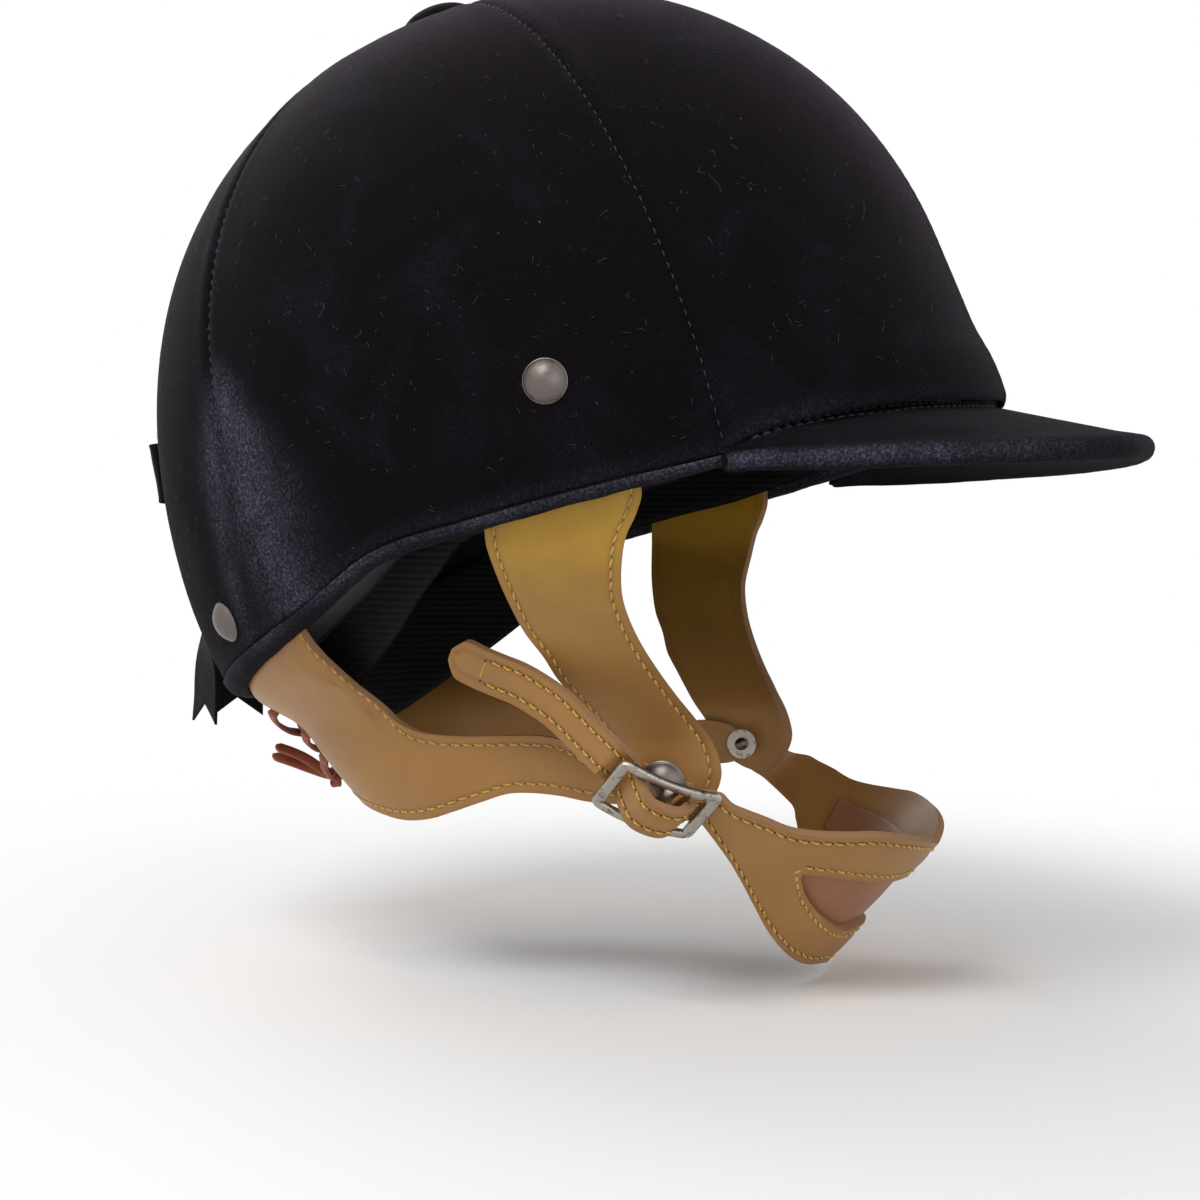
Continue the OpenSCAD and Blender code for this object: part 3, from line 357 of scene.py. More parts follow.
@dataclass(frozen=True)
class Thread:
    """A row of machine stitches, each a short length of twisted thread that dips at both ends."""

    pitch: float = 3.5
    length: float = 3.1
    radius: float = 0.38
    proud: float = 0.24
    sunk: float = 0.34
    slant: float = 0.24
    hole: float = 0.25

    def row(self, path: Array, out: Array) -> Solid:
        """Stitches along a path.

        Args:
            path: Points on the surface that is sewn.
            out: Direction off the surface at each point.

        Returns:
            All the row's stitches as one solid.
        """
        run = np.concatenate([[0], np.cumsum(np.linalg.norm(np.diff(path, axis=0), axis=1))])
        count = max(int(run[-1] / self.pitch), 1)
        step = run[-1] / count

        def read(values: Array, spots: Array) -> Array:
            """Values along the path, read at distances from its start."""
            return np.stack([np.interp(spots, run, values[:, k]) for k in range(3)], -1)

        shares = np.array([-1.0, -0.72, -0.3, 0.3, 0.72, 1.0])
        radii = np.array([0.45, 0.85, 1.0, 1.0, 0.85, 0.45]) * self.radius
        lift = np.array([-1.0, 0.0, 1.0, 1.0, 0.0, -1.0])
        lift = np.where(lift < 0, lift * self.sunk, lift * self.proud)
        spots = (np.arange(count)[:, None] + 0.5) * step + shares * step / self.pitch * self.length / 2
        middle, up = read(path, spots), unit(read(out, spots))
        ahead = unit(np.gradient(middle, axis=1))
        side = unit(np.cross(ahead, up))
        lean = (self.slant + np.sin(np.arange(count) * 2.4) * 0.07)[:, None, None] * shares[None, :, None]
        drift = np.sin(np.arange(count) * 1.7)[:, None, None] * 0.06
        middle = middle + up * lift[None, :, None] + side * (lean + drift)
        a = around(6)
        ring = side[:, :, None] * np.cos(a)[None, None, :, None] + up[:, :, None] * np.sin(a)[None, None, :, None]
        rings = middle[:, :, None] + ring * radii[None, :, None, None]
        sewn = [loft(r) for r in rings]
        if not self.hole:
            return joined(sewn)
        # Needle holes between the stitches, each a shallow dimple in a dark finish: painted shade in the hole
        spots = np.arange(count + 1) * step
        middle, up = read(path, spots), unit(read(out, spots))
        ahead = unit(np.gradient(middle, axis=0))
        side = unit(np.cross(ahead, up))
        a = around(8)
        ring = ahead[:, None] * np.cos(a)[None, :, None] * 1.25 + side[:, None] * np.sin(a)[None, :, None]
        for m, u, r in zip(middle, up, ring * self.hole):
            dimple = loft(np.array([m + r - 0.3 * u, m + r + 0.05 * u, m + r * 0.2 + 0.08 * u]))
            dimple.finish[:] = [1] * len(dimple.finish)
            sewn.append(dimple)
        return joined(sewn)


def fibres(roots: Array, ways: Array, sides: Array, lengths: Array, radius: float) -> Solid:
    """Loose fibres, each a thin bent three-sided hair.

    Args:
        roots: Where each fibre starts.
        ways: Direction in which it starts.
        sides: Direction in which it bends, with the size of its bend.
        lengths: Length of each fibre.
        radius: Radius of a fibre at its root.

    Returns:
        All the fibres as one solid.
    """
    t = np.linspace(0, 1, 5)
    way = ways[:, None] * t[None, :, None] + sides[:, None] * (t**2)[None, :, None]
    line = roots[:, None] + way * lengths[:, None, None]
    ahead = unit(np.gradient(line, axis=1))
    one = unit(np.cross(ahead, [0.31, 0.52, 0.79]))
    two = np.cross(ahead, one)
    a = around(3)
    ring = one[:, :, None] * np.cos(a)[None, None, :, None] + two[:, :, None] * np.sin(a)[None, None, :, None]
    rings = line[:, :, None] + ring * (radius * (1 - 0.6 * t))[None, :, None, None]
    return joined([loft(r) for r in rings])


class Edge(Enum):
    """How a piece's hard edges are finished."""

    PLAIN = 0.0
    BURNISHED = 0.55


def mesh_of(name: str, solid: Solid) -> bpy.types.Mesh:
    """Mesh of a solid, with its faces turned outwards.

    Args:
        name: The mesh's name.
        solid: The solid, in millimetres.

    Returns:
        The mesh, in metres.
    """
    mesh = bpy.data.meshes.new(name)
    mesh.from_pydata((solid.points * MM).tolist(), [], solid.faces)
    work = bmesh.new()
    work.from_mesh(mesh)
    bmesh.ops.recalc_face_normals(work, faces=work.faces)
    work.to_mesh(mesh)
    work.free()
    return mesh


def piece(
    name: str,
    solid: Solid,
    finishes: Sequence[bpy.types.Material],
    body: str,
    replaces: Sequence[str] = (),
    edge: Edge = Edge.PLAIN,
    paint: dict[str, Array] | None = None,
) -> bpy.types.Object:
    """Makes one piece of the helmet.

    Args:
        name: The piece's name.
        solid: Its shape, in millimetres.
        finishes: One material for each number in the solid's finish.
        body: The body that it rides on.
        replaces: The CAD nodes that it stands for.
        edge: How its hard edges are rounded.
        paint: Named values for its points, which its material reads.

    Returns:
        The finished object.
    """
    mesh = mesh_of(name, solid)
    for key, values in (paint or {}).items():
        mesh.attributes.new(key, "FLOAT", "POINT").data.foreach_set("value", np.asarray(values, np.float32).ravel())
    for material in finishes:
        mesh.materials.append(material)
    mesh.polygons.foreach_set("material_index", [min(k, len(finishes) - 1) for k in solid.finish])
    mesh.polygons.foreach_set("use_smooth", [True] * len(solid.faces))
    mesh.update()
    made = bpy.data.objects.new(name, mesh)
    bpy.context.scene.collection.objects.link(made)
    if edge is not Edge.PLAIN:
        bevel = made.modifiers.new("edge", "BEVEL")
        bevel.width = edge.value * MM
        bevel.segments = 3
        bevel.limit_method = "ANGLE"
        bevel.angle_limit = math.radians(48)
        bevel.use_clamp_overlap = True
    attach(made, body)
    if replaces:
        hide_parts(*replaces)
    LOG.info("%s: %d faces, on %s", name, len(solid.faces), body)
    return made


# Finishes


def add(
    tree: bpy.types.NodeTree,
    kind: str,
    settings: dict[str, Any] | None = None,
    inputs: dict[str | int, Any] | None = None,
) -> bpy.types.Node:
    """Adds one node to a material.

    Args:
        tree: The material's node tree.
        kind: The node's type, without the words ShaderNode.
        settings: The node's own properties; stops are a colour ramp's places and colours.
        inputs: Its sockets, by name or number, each with a value, another node's output, or another node, which
            stands for its first output.

    Returns:
        The new node.
    """
    node = tree.nodes.new("ShaderNode" + kind)
    for key, value in (settings or {}).items():
        if key != "stops":
            setattr(node, key, value)
            continue
        ramp = node.color_ramp.elements
        for k, (spot, colour) in enumerate(value):
            element = ramp[k] if k < 2 else ramp.new(spot)
            element.position, element.color = spot, colour
    for key, value in (inputs or {}).items():
        value = value.outputs[0] if isinstance(value, bpy.types.Node) else value
        if isinstance(value, bpy.types.NodeSocket):
            tree.links.new(value, node.inputs[key])
        else:
            node.inputs[key].default_value = value
    return node


# Settings of a mix node that mixes two colours, and of a range that eases in and out
COLOURS = {"data_type": "RGBA"}
EASED = {"interpolation_type": "SMOOTHSTEP"}


def scale_of(size_mm: float) -> float:
    """Texture scale that draws a pattern at a real size in millimetres."""
    return 1 / (size_mm * MM)


def grey(level: float) -> tuple[float, float, float, float]:
    """A colour ramp's grey."""
    return (level, level, level, 1.0)


@dataclass(frozen=True)
class Finish:
    """A surface: what the real one is made of and how it was made."""

    name: str
    colour: str
    roughness: float = 0.5

    def start(
        self, sockets: dict[str, Any] | None = None
    ) -> tuple[bpy.types.Material, bpy.types.NodeTree, bpy.types.Node, bpy.types.NodeSocket]:
        """Starts the material.

        Args:
            sockets: Values for the shader's own sockets.

        Returns:
            The material, its node tree, its shader and the socket that gives a point's place on the helmet.
        """
        material = bpy.data.materials.new(self.name)
        material.use_nodes = True
        tree = material.node_tree
        shader = tree.nodes["Principled BSDF"]
        shader.inputs["Base Color"].default_value = srgb(self.colour)
        shader.inputs["Roughness"].default_value = self.roughness
        for socket, value in (sockets or {}).items():
            shader.inputs[socket].default_value = value
        return material, tree, shader, add(tree, "TexCoord").outputs["Object"]

    @staticmethod
    def dress(
        tree: bpy.types.NodeTree,
        shader: bpy.types.Node,
        colour: bpy.types.NodeSocket,
        height: bpy.types.NodeSocket,
        strength: float,
        depth: float,
    ) -> None:
        """Gives the shader its colour and its relief.

        Args:
            tree: The material's node tree.
            shader: Its shader.
            colour: Socket that gives the colour.
            height: Socket that gives the relief's height.
            strength: How strongly the relief shows.
            depth: Depth of the relief in millimetres.
        """
        bump = add(tree, "Bump", inputs={"Strength": strength, "Distance": depth * MM, "Height": height})
        tree.links.new(colour, shader.inputs["Base Color"])
        tree.links.new(bump.outputs[0], shader.inputs["Normal"])


@dataclass(frozen=True)
class PileVelvet(Finish):
    """Silk-pile velvet, woven and brushed: near black face on, silvery violet where the pile lies over, partly the
    shader's sheen and partly painted sheen in the colour.
    """

    # Colour of the painted sheen where the pile lies over
    painted_silver_sheen: str = "#9c9cb8"
    tip: str = "#120d12"
    lint: str = "#9a949c"
    sheen: str = "#b8a6c0"
    sheen_low: float = 0.0
    sheen_high: float = 0.19
    pile_mm: float = 0.45
    lint_mm: float = 5.5
    sheen_patch_mm: float = 29.4
    clump_mm: float = 0.87
    bend_mm: float = 1.11
    drift_mm: float = 45.5

    def build(self) -> bpy.types.Material:
        """Makes the material.

        Returns:
            The finished material.
        """
        material, tree, shader, spot = self.start(
            {"Specular IOR Level": 0.07, "Sheen Roughness": 0.32, "Sheen Tint": srgb(self.sheen)}
        )
        # Tufts of pile, drawn at about half a millimetre so that they show
        tuft = add(tree, "TexNoise", inputs={"Vector": spot, "Scale": scale_of(self.pile_mm), "Detail": 3.0})
        tuft_ramp = add(tree, "ValToRGB", {"stops": [(0.42, grey(0.0)), (0.72, grey(1.0))]}, {"Fac": tuft})
        # Broad patches of painted sheen, as where the pile lies one way or the other
        sheen_patch = add(
            tree,
            "TexNoise",
            inputs={"Vector": spot, "Scale": scale_of(self.sheen_patch_mm), "Detail": 4.0, "Distortion": 0.6},
        )
        sheen_patch_ramp = add(tree, "ValToRGB", {"stops": [(0.5, grey(0.0)), (0.85, grey(0.07))]}, {"Fac": sheen_patch})
        # How much painted sheen each point takes, painted on the gores, the hem and the peak
        painted_sheen = add(tree, "Attribute", {"attribute_name": "painted_sheen"})
        sheen_mask = add(tree, "Math", {"operation": "ADD"}, {0: painted_sheen.outputs["Fac"], 1: sheen_patch_ramp})
        # Where it lies over, the pile parts into clumps, and the painted sheen shows silvery on them
        clump = add(
            tree, "TexNoise", inputs={"Vector": spot, "Scale": scale_of(self.clump_mm), "Detail": 5.0, "Roughness": 0.8}
        )
        clump_edge = add(
            tree, "MapRange", EASED, {"Value": clump, "From Min": 0.42, "From Max": 0.74, "To Min": 0.12, "To Max": 1.0}
        )
        shown = add(tree, "Math", {"operation": "MULTIPLY", "use_clamp": True}, {0: sheen_mask, 1: clump_edge})
        ground = add(tree, "Mix", COLOURS, {0: tuft_ramp, 6: srgb(self.colour), 7: srgb(self.tip)})
        # Painted sheen: the silvery colour mixed into the ground where the mask shows
        cloth = add(tree, "Mix", COLOURS, {0: shown, 6: ground.outputs[2], 7: srgb(self.painted_silver_sheen)})
        # Lint: sparse short fibres caught in the pile, bent by a noise and gathered in drifts
        bend = add(tree, "TexNoise", inputs={"Vector": spot, "Scale": scale_of(self.bend_mm), "Detail": 1.0})
        shift = add(
            tree,
            "VectorMath",
            {"operation": "MULTIPLY_ADD"},
            {0: bend.outputs["Color"], 1: (0.0016, 0.0016, 0.0016), 2: spot},
        )
        cells = add(
            tree,
            "TexVoronoi",
            {"feature": "F1"},
            {"Vector": shift.outputs[0], "Scale": scale_of(self.lint_mm), "Randomness": 1.0},
        )
        fibre = add(tree, "ValToRGB", {"stops": [(0.0, grey(0.75)), (0.052, grey(0.0))]}, {"Fac": cells})
        clumps = add(tree, "TexNoise", inputs={"Vector": spot, "Scale": scale_of(self.drift_mm), "Detail": 2.0})
        clump_ramp = add(tree, "ValToRGB", {"stops": [(0.5, grey(0.0)), (0.62, grey(1.0))]}, {"Fac": clumps})
        linted = add(tree, "Math", {"operation": "MULTIPLY"}, {0: fibre, 1: clump_ramp})
        top = add(tree, "Mix", COLOURS, {0: linted, 6: cloth.outputs[2], 7: srgb(self.lint)})
        self.dress(tree, shader, top.outputs[2], tuft.outputs["Fac"], 0.7, 0.5)
        # Painted light: the sheen weight rises with height, so the top shines more and the hem less
        height = add(tree, "SeparateXYZ", inputs={0: spot})
        sheen_by_height = add(
            tree,
            "MapRange",
            inputs={"Value": height.outputs["Z"], "From Min": -0.04, "From Max": 0.12, "To Min": self.sheen_low,
                    "To Max": self.sheen_high},
        )
        tree.links.new(sheen_by_height.outputs[0], shader.inputs["Sheen Weight"])
        return material


@dataclass(frozen=True)
class FinishedLeather(Finish):
    """Drum-dyed leather, plated smooth: a satin face with fine grain and colour that drifts along the strap."""

    warm: str = "#b48a33"
    dark: str = "#8a5f36"
    drift_mm: float = 18.2
    pore_mm: float = 2.38
    grain_mm: float = 0.8
    grain_depth: float = 0.12
    coat: float = 0.06
    gild_low: float = -0.085
    gild_high: float = -0.03

    def build(self) -> bpy.types.Material:
        """Makes the material.

        Returns:
            The finished material.
        """
        material, tree, shader, spot = self.start(
            {"Specular IOR Level": 0.5, "Coat Weight": self.coat, "Coat Roughness": 0.28}
        )
        # The face is yellower under the hem and tan lower down
        height = add(tree, "SeparateXYZ", inputs={0: spot})
        gild = add(
            tree,
            "MapRange",
            EASED,
            {"Value": height.outputs["Z"], "From Min": self.gild_low, "From Max": self.gild_high},
        )
        face = add(tree, "Mix", COLOURS, {0: gild, 6: srgb(self.colour), 7: srgb(self.warm)})
        drift = add(
            tree, "TexNoise", inputs={"Vector": spot, "Scale": scale_of(self.drift_mm), "Detail": 5.0, "Roughness": 0.6}
        )
        drift_ramp = add(tree, "ValToRGB", {"stops": [(0.38, grey(0.28)), (0.62, grey(0.0))]}, {"Fac": drift})
        aged = add(tree, "Mix", COLOURS, {0: drift_ramp, 6: face.outputs[2], 7: srgb(self.dark)})
        # Rubbed edges, painted where the strap's face nears its edge
        rub = add(tree, "Attribute", {"attribute_name": "rub"})
        rubbed = add(tree, "Mix", COLOURS, {0: rub.outputs["Fac"], 6: aged.outputs[2], 7: srgb(self.dark)})
        grain = add(
            tree,
            "TexVoronoi",
            {"feature": "DISTANCE_TO_EDGE"},
            {"Vector": spot, "Scale": scale_of(self.grain_mm), "Randomness": 1.0},
        )
        pores = add(tree, "TexNoise", inputs={"Vector": spot, "Scale": scale_of(self.pore_mm), "Detail": 6.0})
        relief = add(tree, "Math", {"operation": "MULTIPLY_ADD"}, {0: grain, 1: 0.6, 2: pores})
        self.dress(tree, shader, rubbed.outputs[2], relief.outputs[0], 0.5, self.grain_depth)
        gloss = add(
            tree, "MapRange", inputs={"Value": pores, "To Min": self.roughness - 0.08, "To Max": self.roughness + 0.12}
        )
        tree.links.new(gloss.outputs[0], shader.inputs["Roughness"])
        return material


@dataclass(frozen=True)
class CutLeather(Finish):
    """Bare cut edge of leather: light brown, matt and fuzzy with torn fibre."""

    fibre: str = "#b08a66"
    fuzz_mm: float = 0.667

    def build(self) -> bpy.types.Material:
        """Makes the material.

        Returns:
            The finished material.
        """
        material, tree, shader, spot = self.start(
            {"Specular IOR Level": 0.2, "Sheen Weight": 0.3, "Sheen Tint": srgb(self.fibre)}
        )
        fuzz = add(
            tree, "TexNoise", inputs={"Vector": spot, "Scale": scale_of(self.fuzz_mm), "Detail": 6.0, "Roughness": 0.7}
        )
        mix = add(tree, "Mix", COLOURS, {0: fuzz, 6: srgb(self.colour), 7: srgb(self.fibre)})
        self.dress(tree, shader, mix.outputs[2], fuzz.outputs["Fac"], 0.8, 0.4)
        return material


@dataclass(frozen=True)
class WaxedThread(Finish):
    """Bonded sewing thread: two-ply twist that shows as fine slanting bands."""

    def build(self) -> bpy.types.Material:
        """Makes the material.

        Returns:
            The finished material.
        """
        material, tree, shader, spot = self.start({"Sheen Weight": 0.15})
        twist = add(
            tree,
            "TexWave",
            {"wave_type": "BANDS", "bands_direction": "DIAGONAL"},
            {"Vector": spot, "Scale": 330.0, "Distortion": 1.0, "Detail": 1.0},
        )
        shade = add(
            tree,
            "Mix",
            {"data_type": "RGBA", "blend_type": "MULTIPLY"},
            {0: 0.35, 6: srgb(self.colour), 7: twist.outputs["Color"]},
        )
        self.dress(tree, shader, shade.outputs[2], twist.outputs["Fac"], 0.6, 0.2)
        return material


@dataclass(frozen=True)
class NickelPlate(Finish):
    """Nickel-plated steel, tumbled and worn: soft reflections, brown tarnish spots and hairline scratches."""

    tarnish: str = "#6a5648"
    spot_mm: float = 3.2
    fine_mm: float = 0.385
    wear: float = 0.5

    def build(self) -> bpy.types.Material:
        """Makes the material.

        Returns:
            The finished material.
        """
        material, tree, shader, spot = self.start({"Metallic": 1.0})
        spots = add(tree, "TexNoise", inputs={"Vector": spot, "Scale": scale_of(self.spot_mm), "Detail": 6.0})
        spots_ramp = add(tree, "ValToRGB", {"stops": [(0.56, grey(0.0)), (0.72, grey(self.wear))]}, {"Fac": spots})
        metal = add(tree, "Mix", COLOURS, {0: spots_ramp, 6: srgb(self.colour), 7: srgb(self.tarnish)})
        fine = add(tree, "TexNoise", inputs={"Vector": spot, "Scale": scale_of(self.fine_mm), "Detail": 3.0})
        gloss = add(
            tree, "MapRange", inputs={"Value": spots, "To Min": self.roughness - 0.06, "To Max": self.roughness + 0.16}
        )
        tree.links.new(gloss.outputs[0], shader.inputs["Roughness"])
        scratches = add(
            tree, "Mapping", inputs={"Vector": spot, "Scale": (300.0, 2600.0, 900.0), "Rotation": (0.3, 0.5, 0.9)}
        )
        hair = add(tree, "TexNoise", inputs={"Vector": scratches, "Scale": 1.0, "Detail": 2.0})
        relief = add(tree, "Math", {"operation": "ADD"}, {0: fine, 1: hair})
        self.dress(tree, shader, metal.outputs[2], relief.outputs[0], 0.25, 0.08)
        return material


@dataclass(frozen=True)
class RibbedCloth(Finish):
    """Corded rayon cloth: fine even ribs, with a dull sheen along each, partly the shader's sheen and partly painted
    highlight on the crests.
    """

    rib_mm: float = 1.1
    weave_mm: float = 0.417
    rib_way: tuple[float, float, float] = (0.0, 0.0, 1.0)
    # Colour of the rib crests: painted highlight
    thread: str = "#3a3a40"

    def build(self) -> bpy.types.Material:
        """Makes the material.

        Returns:
            The finished material.
        """
        material, tree, shader, spot = self.start({"Sheen Weight": 0.03, "Specular IOR Level": 0.15})
        height = add(tree, "VectorMath", {"operation": "DOT_PRODUCT"}, {0: spot, 1: self.rib_way})
        wave = add(
            tree, "Math", {"operation": "MULTIPLY"}, {0: height.outputs["Value"], 1: 2 * math.pi / (self.rib_mm * MM)}
        )
        rib = add(tree, "Math", {"operation": "SINE"}, {0: wave})
        weave = add(tree, "TexNoise", inputs={"Vector": spot, "Scale": scale_of(self.weave_mm), "Detail": 3.0})
        relief = add(tree, "Math", {"operation": "MULTIPLY_ADD"}, {0: rib, 1: 0.5, 2: weave})
        # The rib crests take the lighter colour: painted highlight
        level = add(tree, "MapRange", inputs={"Value": relief, "From Min": -0.2, "From Max": 1.2})
        mix = add(tree, "Mix", COLOURS, {0: level, 6: srgb(self.colour), 7: srgb(self.thread)})
        self.dress(tree, shader, mix.outputs[2], relief.outputs[0], 0.7, 0.3)
        return material


@dataclass(frozen=True)
class PressedBoard(Finish):
    """Pressed fibre or felt: matt, mottled and slightly rough to the eye."""

    fleck: str = "#5c4a3a"
    fleck_mm: float = 1.5

    def build(self) -> bpy.types.Material:
        """Makes the material.

        Returns:
            The finished material.
        """
        material, tree, shader, spot = self.start()
        fleck = add(tree, "TexNoise", inputs={"Vector": spot, "Scale": scale_of(self.fleck_mm), "Detail": 8.0})
        mix = add(tree, "Mix", COLOURS, {0: fleck, 6: srgb(self.colour), 7: srgb(self.fleck)})
        self.dress(tree, shader, mix.outputs[2], fleck.outputs["Fac"], 0.5, 0.4)
        return material


class Palette:
    """All the helmet's finishes, each made once."""

    def __init__(self) -> None:
        """Builds the materials."""
        self.velvet = PileVelvet("black_silk_velvet", "#060306", 0.85).build()
        self.leather = FinishedLeather("tan_bridle_leather", "#a4763a", 0.47, warm="#b98e1f").build()
        self.edge = CutLeather("cut_leather_edge", "#8f6a48", 0.9).build()
        self.cup = FinishedLeather(
            "brown_calf_leather", "#9c6846", 0.45, warm="#9c6846", dark="#774a30", coat=0.05
        ).build()
        self.lace = FinishedLeather(
            "russet_lace_leather", "#93492a", 0.6, warm="#93492a", dark="#662f18", coat=0.0
        ).build()
        self.thread = WaxedThread("golden_waxed_thread", "#d8ae48", 0.55).build()
        self.black_thread = WaxedThread("black_sewing_thread", "#1d1a1f", 0.6).build()
        # Dark brown of the needle holes: painted shade
        self.hole = PressedBoard("needle_hole_shade", "#55381c", 0.9, fleck="#3d2813").build()
        # Lint is loose thread, so it shares the thread's finish
        self.lint = WaxedThread("pale_lint", "#6c666e", 0.9).build()
        self.nickel = NickelPlate("worn_nickel_plate", "#b3aca2", 0.3, tarnish="#4d3828", wear=0.9, spot_mm=1.7).build()
        # Darker than the buckle's nickel: partly tarnish, partly painted shade for the dark reflections on the rivets
        self.rivet = NickelPlate(
            "tarnished_shaded_nickel", "#6d6663", 0.34, tarnish="#4c3a30", wear=0.85, spot_mm=5.0
        ).build()
        self.ribbon = RibbedCloth("black_grosgrain_ribbon", "#040405", 0.85, rib_mm=1.0, thread="#0b0b0d").build()
        self.band = RibbedCloth("black_ribbed_headband", "#09090a", 0.75, rib_mm=2.1, thread="#17171a").build()
        self.lining = RibbedCloth("black_cotton_lining", "#0e0e10", 0.8, rib_mm=0.9, thread="#1c1c20").build()
        self.felt = PressedBoard("grey_wool_felt", "#232326", 0.95, fleck="#37373b").build()
        self.fibre = PressedBoard("varnished_fibre_shell", "#3a2c22", 0.45, fleck="#54402f").build()
        self.board = PressedBoard("buckram_board", "#4a3a2c", 0.85, fleck="#6a5642").build()


# Crown surface


@dataclass(frozen=True)
class Crown:
    """The helmet's crown: a squared ellipse in plan and an ellipse in height, with its hem and layers."""

    half_w: float = 107.6
    front: float = 126.0
    back: float = 132.0
    top: float = 129.8
    drop: float = 159.5
    square: float = 2.15
    lean: float = 20.0
    front_seam: float = 56.5
    rear_seam: float = 131.9
    cover_t: float = 1.6
    strap_out: float = 5.8
    liner_in: float = 21.8
    lining_out: float = 22.1
    lining_in: float = 23.1
    headband_out: float = 24.6
    headband_in: float = 27.1
    headband_h: float = 32.0
    hem_front: float = 5.0
    hem_side: float = 40.5
    hem_back: float = 98.0
    hem_roll: float = 3.6
    gap: float = 0.3
    peak_wrap: float = 53.0
    swell_t: float = 11.4
    swell_h: float = 45.0
    least_down: float = 60.0
    most_down: float = 158.0
    halvings: int = 24

    def plan(self, turn: Array, front: Array, back: Array, side: Array, square: Array | float) -> Array:
        """Radius of a squared ellipse at a turn.

        Args:
            turn: Turns from the front, in degrees.
            front: Reach ahead.
            back: Reach behind.
            side: Half width.
            square: Power of the ellipse: 2 is round.

        Returns:
            Radii in millimetres.
        """
        c, s = np.cos(np.radians(turn)), np.sin(np.radians(turn))
        run = np.where(c > 0, front, back)
        return ((np.abs(c) / run) ** square + (np.abs(s) / side) ** square) ** (-1 / square)

    def radius(self, turn: Array, z: Array, inset: Array | float) -> Array:
        """Radius of the crown at a turn and height, inside the cover by an inset.

        Args:
            turn: Turns from the front, in degrees.
            z: Heights.
            inset: Distance inside the cover.

        Returns:
            Radii in millimetres.
        """
        drop = np.where(z > 0, self.top, self.drop) - inset
        flat = self.plan(turn, self.front - inset, self.back - inset, self.half_w - inset, self.square)
        return flat * np.sqrt(np.maximum(1 - (z / drop) ** 2, 0))

    @staticmethod
    def spot(turn: Array, radius: Array, z: Array) -> Array:
        """Point at a turn, radius and height."""
        turn, radius, z = np.broadcast_arrays(turn, radius, z)
        return np.stack([-radius * np.sin(np.radians(turn)), -radius * np.cos(np.radians(turn)), z], -1)

    def point(self, turn: Array, z: Array, inset: Array | float = 0.0) -> Array:
        """Point of the crown at a turn and height."""
        return self.spot(turn, self.radius(turn, z, inset), z)

    def ray(self, way: Array, inset: Array | float) -> Array:
        """Point where a direction from the origin meets the crown.

        Args:
            way: Directions.
            inset: Distance inside the cover.

        Returns:
            Points in millimetres.
        """
        run = np.where(way[..., 1] < 0, self.front, self.back) - inset
        side = self.half_w - inset
        rise = np.where(way[..., 2] > 0, self.top, self.drop) - inset
        flat = (np.abs(way[..., 1]) / run) ** self.square + (np.abs(way[..., 0]) / side) ** self.square
        return way / np.sqrt(flat ** (2 / self.square) + (way[..., 2] / rise) ** 2)[..., None]

    def normal(self, turn: float, z: float) -> Array:
        """Direction square to the crown at a turn and height.

        Args:
            turn: Turn from the front, in degrees.
            z: Height.

        Returns:
            A unit direction.
        """
        turn, z = np.asarray(turn, float), np.asarray(z, float)
        a = self.point(turn + 0.5, z) - self.point(turn - 0.5, z)
        b = self.point(turn, z + 0.5) - self.point(turn, z - 0.5)
        n = unit(np.cross(a, b))
        return np.where((n * self.point(turn, z)).sum(-1, keepdims=True) < 0, -n, n)

    @property
    def button_way(self) -> Array:
        """Direction from the origin to the button."""
        lean = math.radians(self.lean)
        return np.array([0, math.sin(lean), math.cos(lean)])

    def gore_point(self, turn: Array, down: Array, inset: Array | float) -> Array:
        """Point at an angle down from the button, along a turn round it.

        Args:
            turn: Turns round the button, in degrees.
            down: Angles down from it, in degrees.
            inset: Distance inside the cover.

        Returns:
            Points in millimetres.
        """
        turn, down = np.broadcast_arrays(np.radians(turn), np.radians(down))
        lean = math.radians(self.lean)
        front, side = np.array([0, -math.cos(lean), math.sin(lean)]), np.array([-1.0, 0, 0])
        level = np.cos(turn)[..., None] * front + np.sin(turn)[..., None] * side
        return self.ray(np.cos(down)[..., None] * self.button_way + np.sin(down)[..., None] * level, inset)

    def hem_z(self, turn: Array) -> Array:
        """Height of the hem at a turn from 0 to 180.

        Args:
            turn: Turns from the front, in degrees.

        Returns:
            Heights in millimetres.
        """
        knots = [
            (0, -self.hem_front),
            (30, -self.hem_front - 6),
            (60, -self.hem_side * 0.62),
            (90, -self.hem_side),
            (105, -self.hem_side * 1.21),
            (120, -self.hem_back * 0.67),
            (140, -self.hem_back * 0.835),
            (160, -self.hem_back * 0.945),
            (180, -self.hem_back * 0.98),
        ]
        return curve(knots, turn)

    def root_z(self, turn: Array) -> Array:
        """Height of the line where the peak meets the crown."""
        knots = [(0, 1.5), (22, -1.3), (34, -4.3), (45, -9.6), (50, -13.8), (53, -17.3), (60, -23)]
        return curve(knots, np.abs(turn))

    def fade(self, turn: Array) -> Array:
        """Share of the peak's middle at a turn, 0 at its ends."""
        return np.cos(np.radians(np.minimum(np.abs(turn) / self.peak_wrap, 1) * 90))

    def swell(self, turn: Array, z: Array) -> Array:
        """How far the cover stands off the crown over the peak's root.

        Args:
            turn: Turns from the front, in degrees.
            z: Heights.

        Returns:
            Distances in millimetres.
        """
        knots = [(0, 1), (0.08, 0.975), (0.3, 0.7), (0.52, 0.33), (0.74, 0.14), (0.97, 0.03), (1.15, 0)]
        rise = curve(knots, (z - self.root_z(turn)) / self.swell_h)
        return np.where(np.abs(turn) < self.peak_wrap, self.swell_t * self.fade(turn) ** 0.8 * rise, 0)

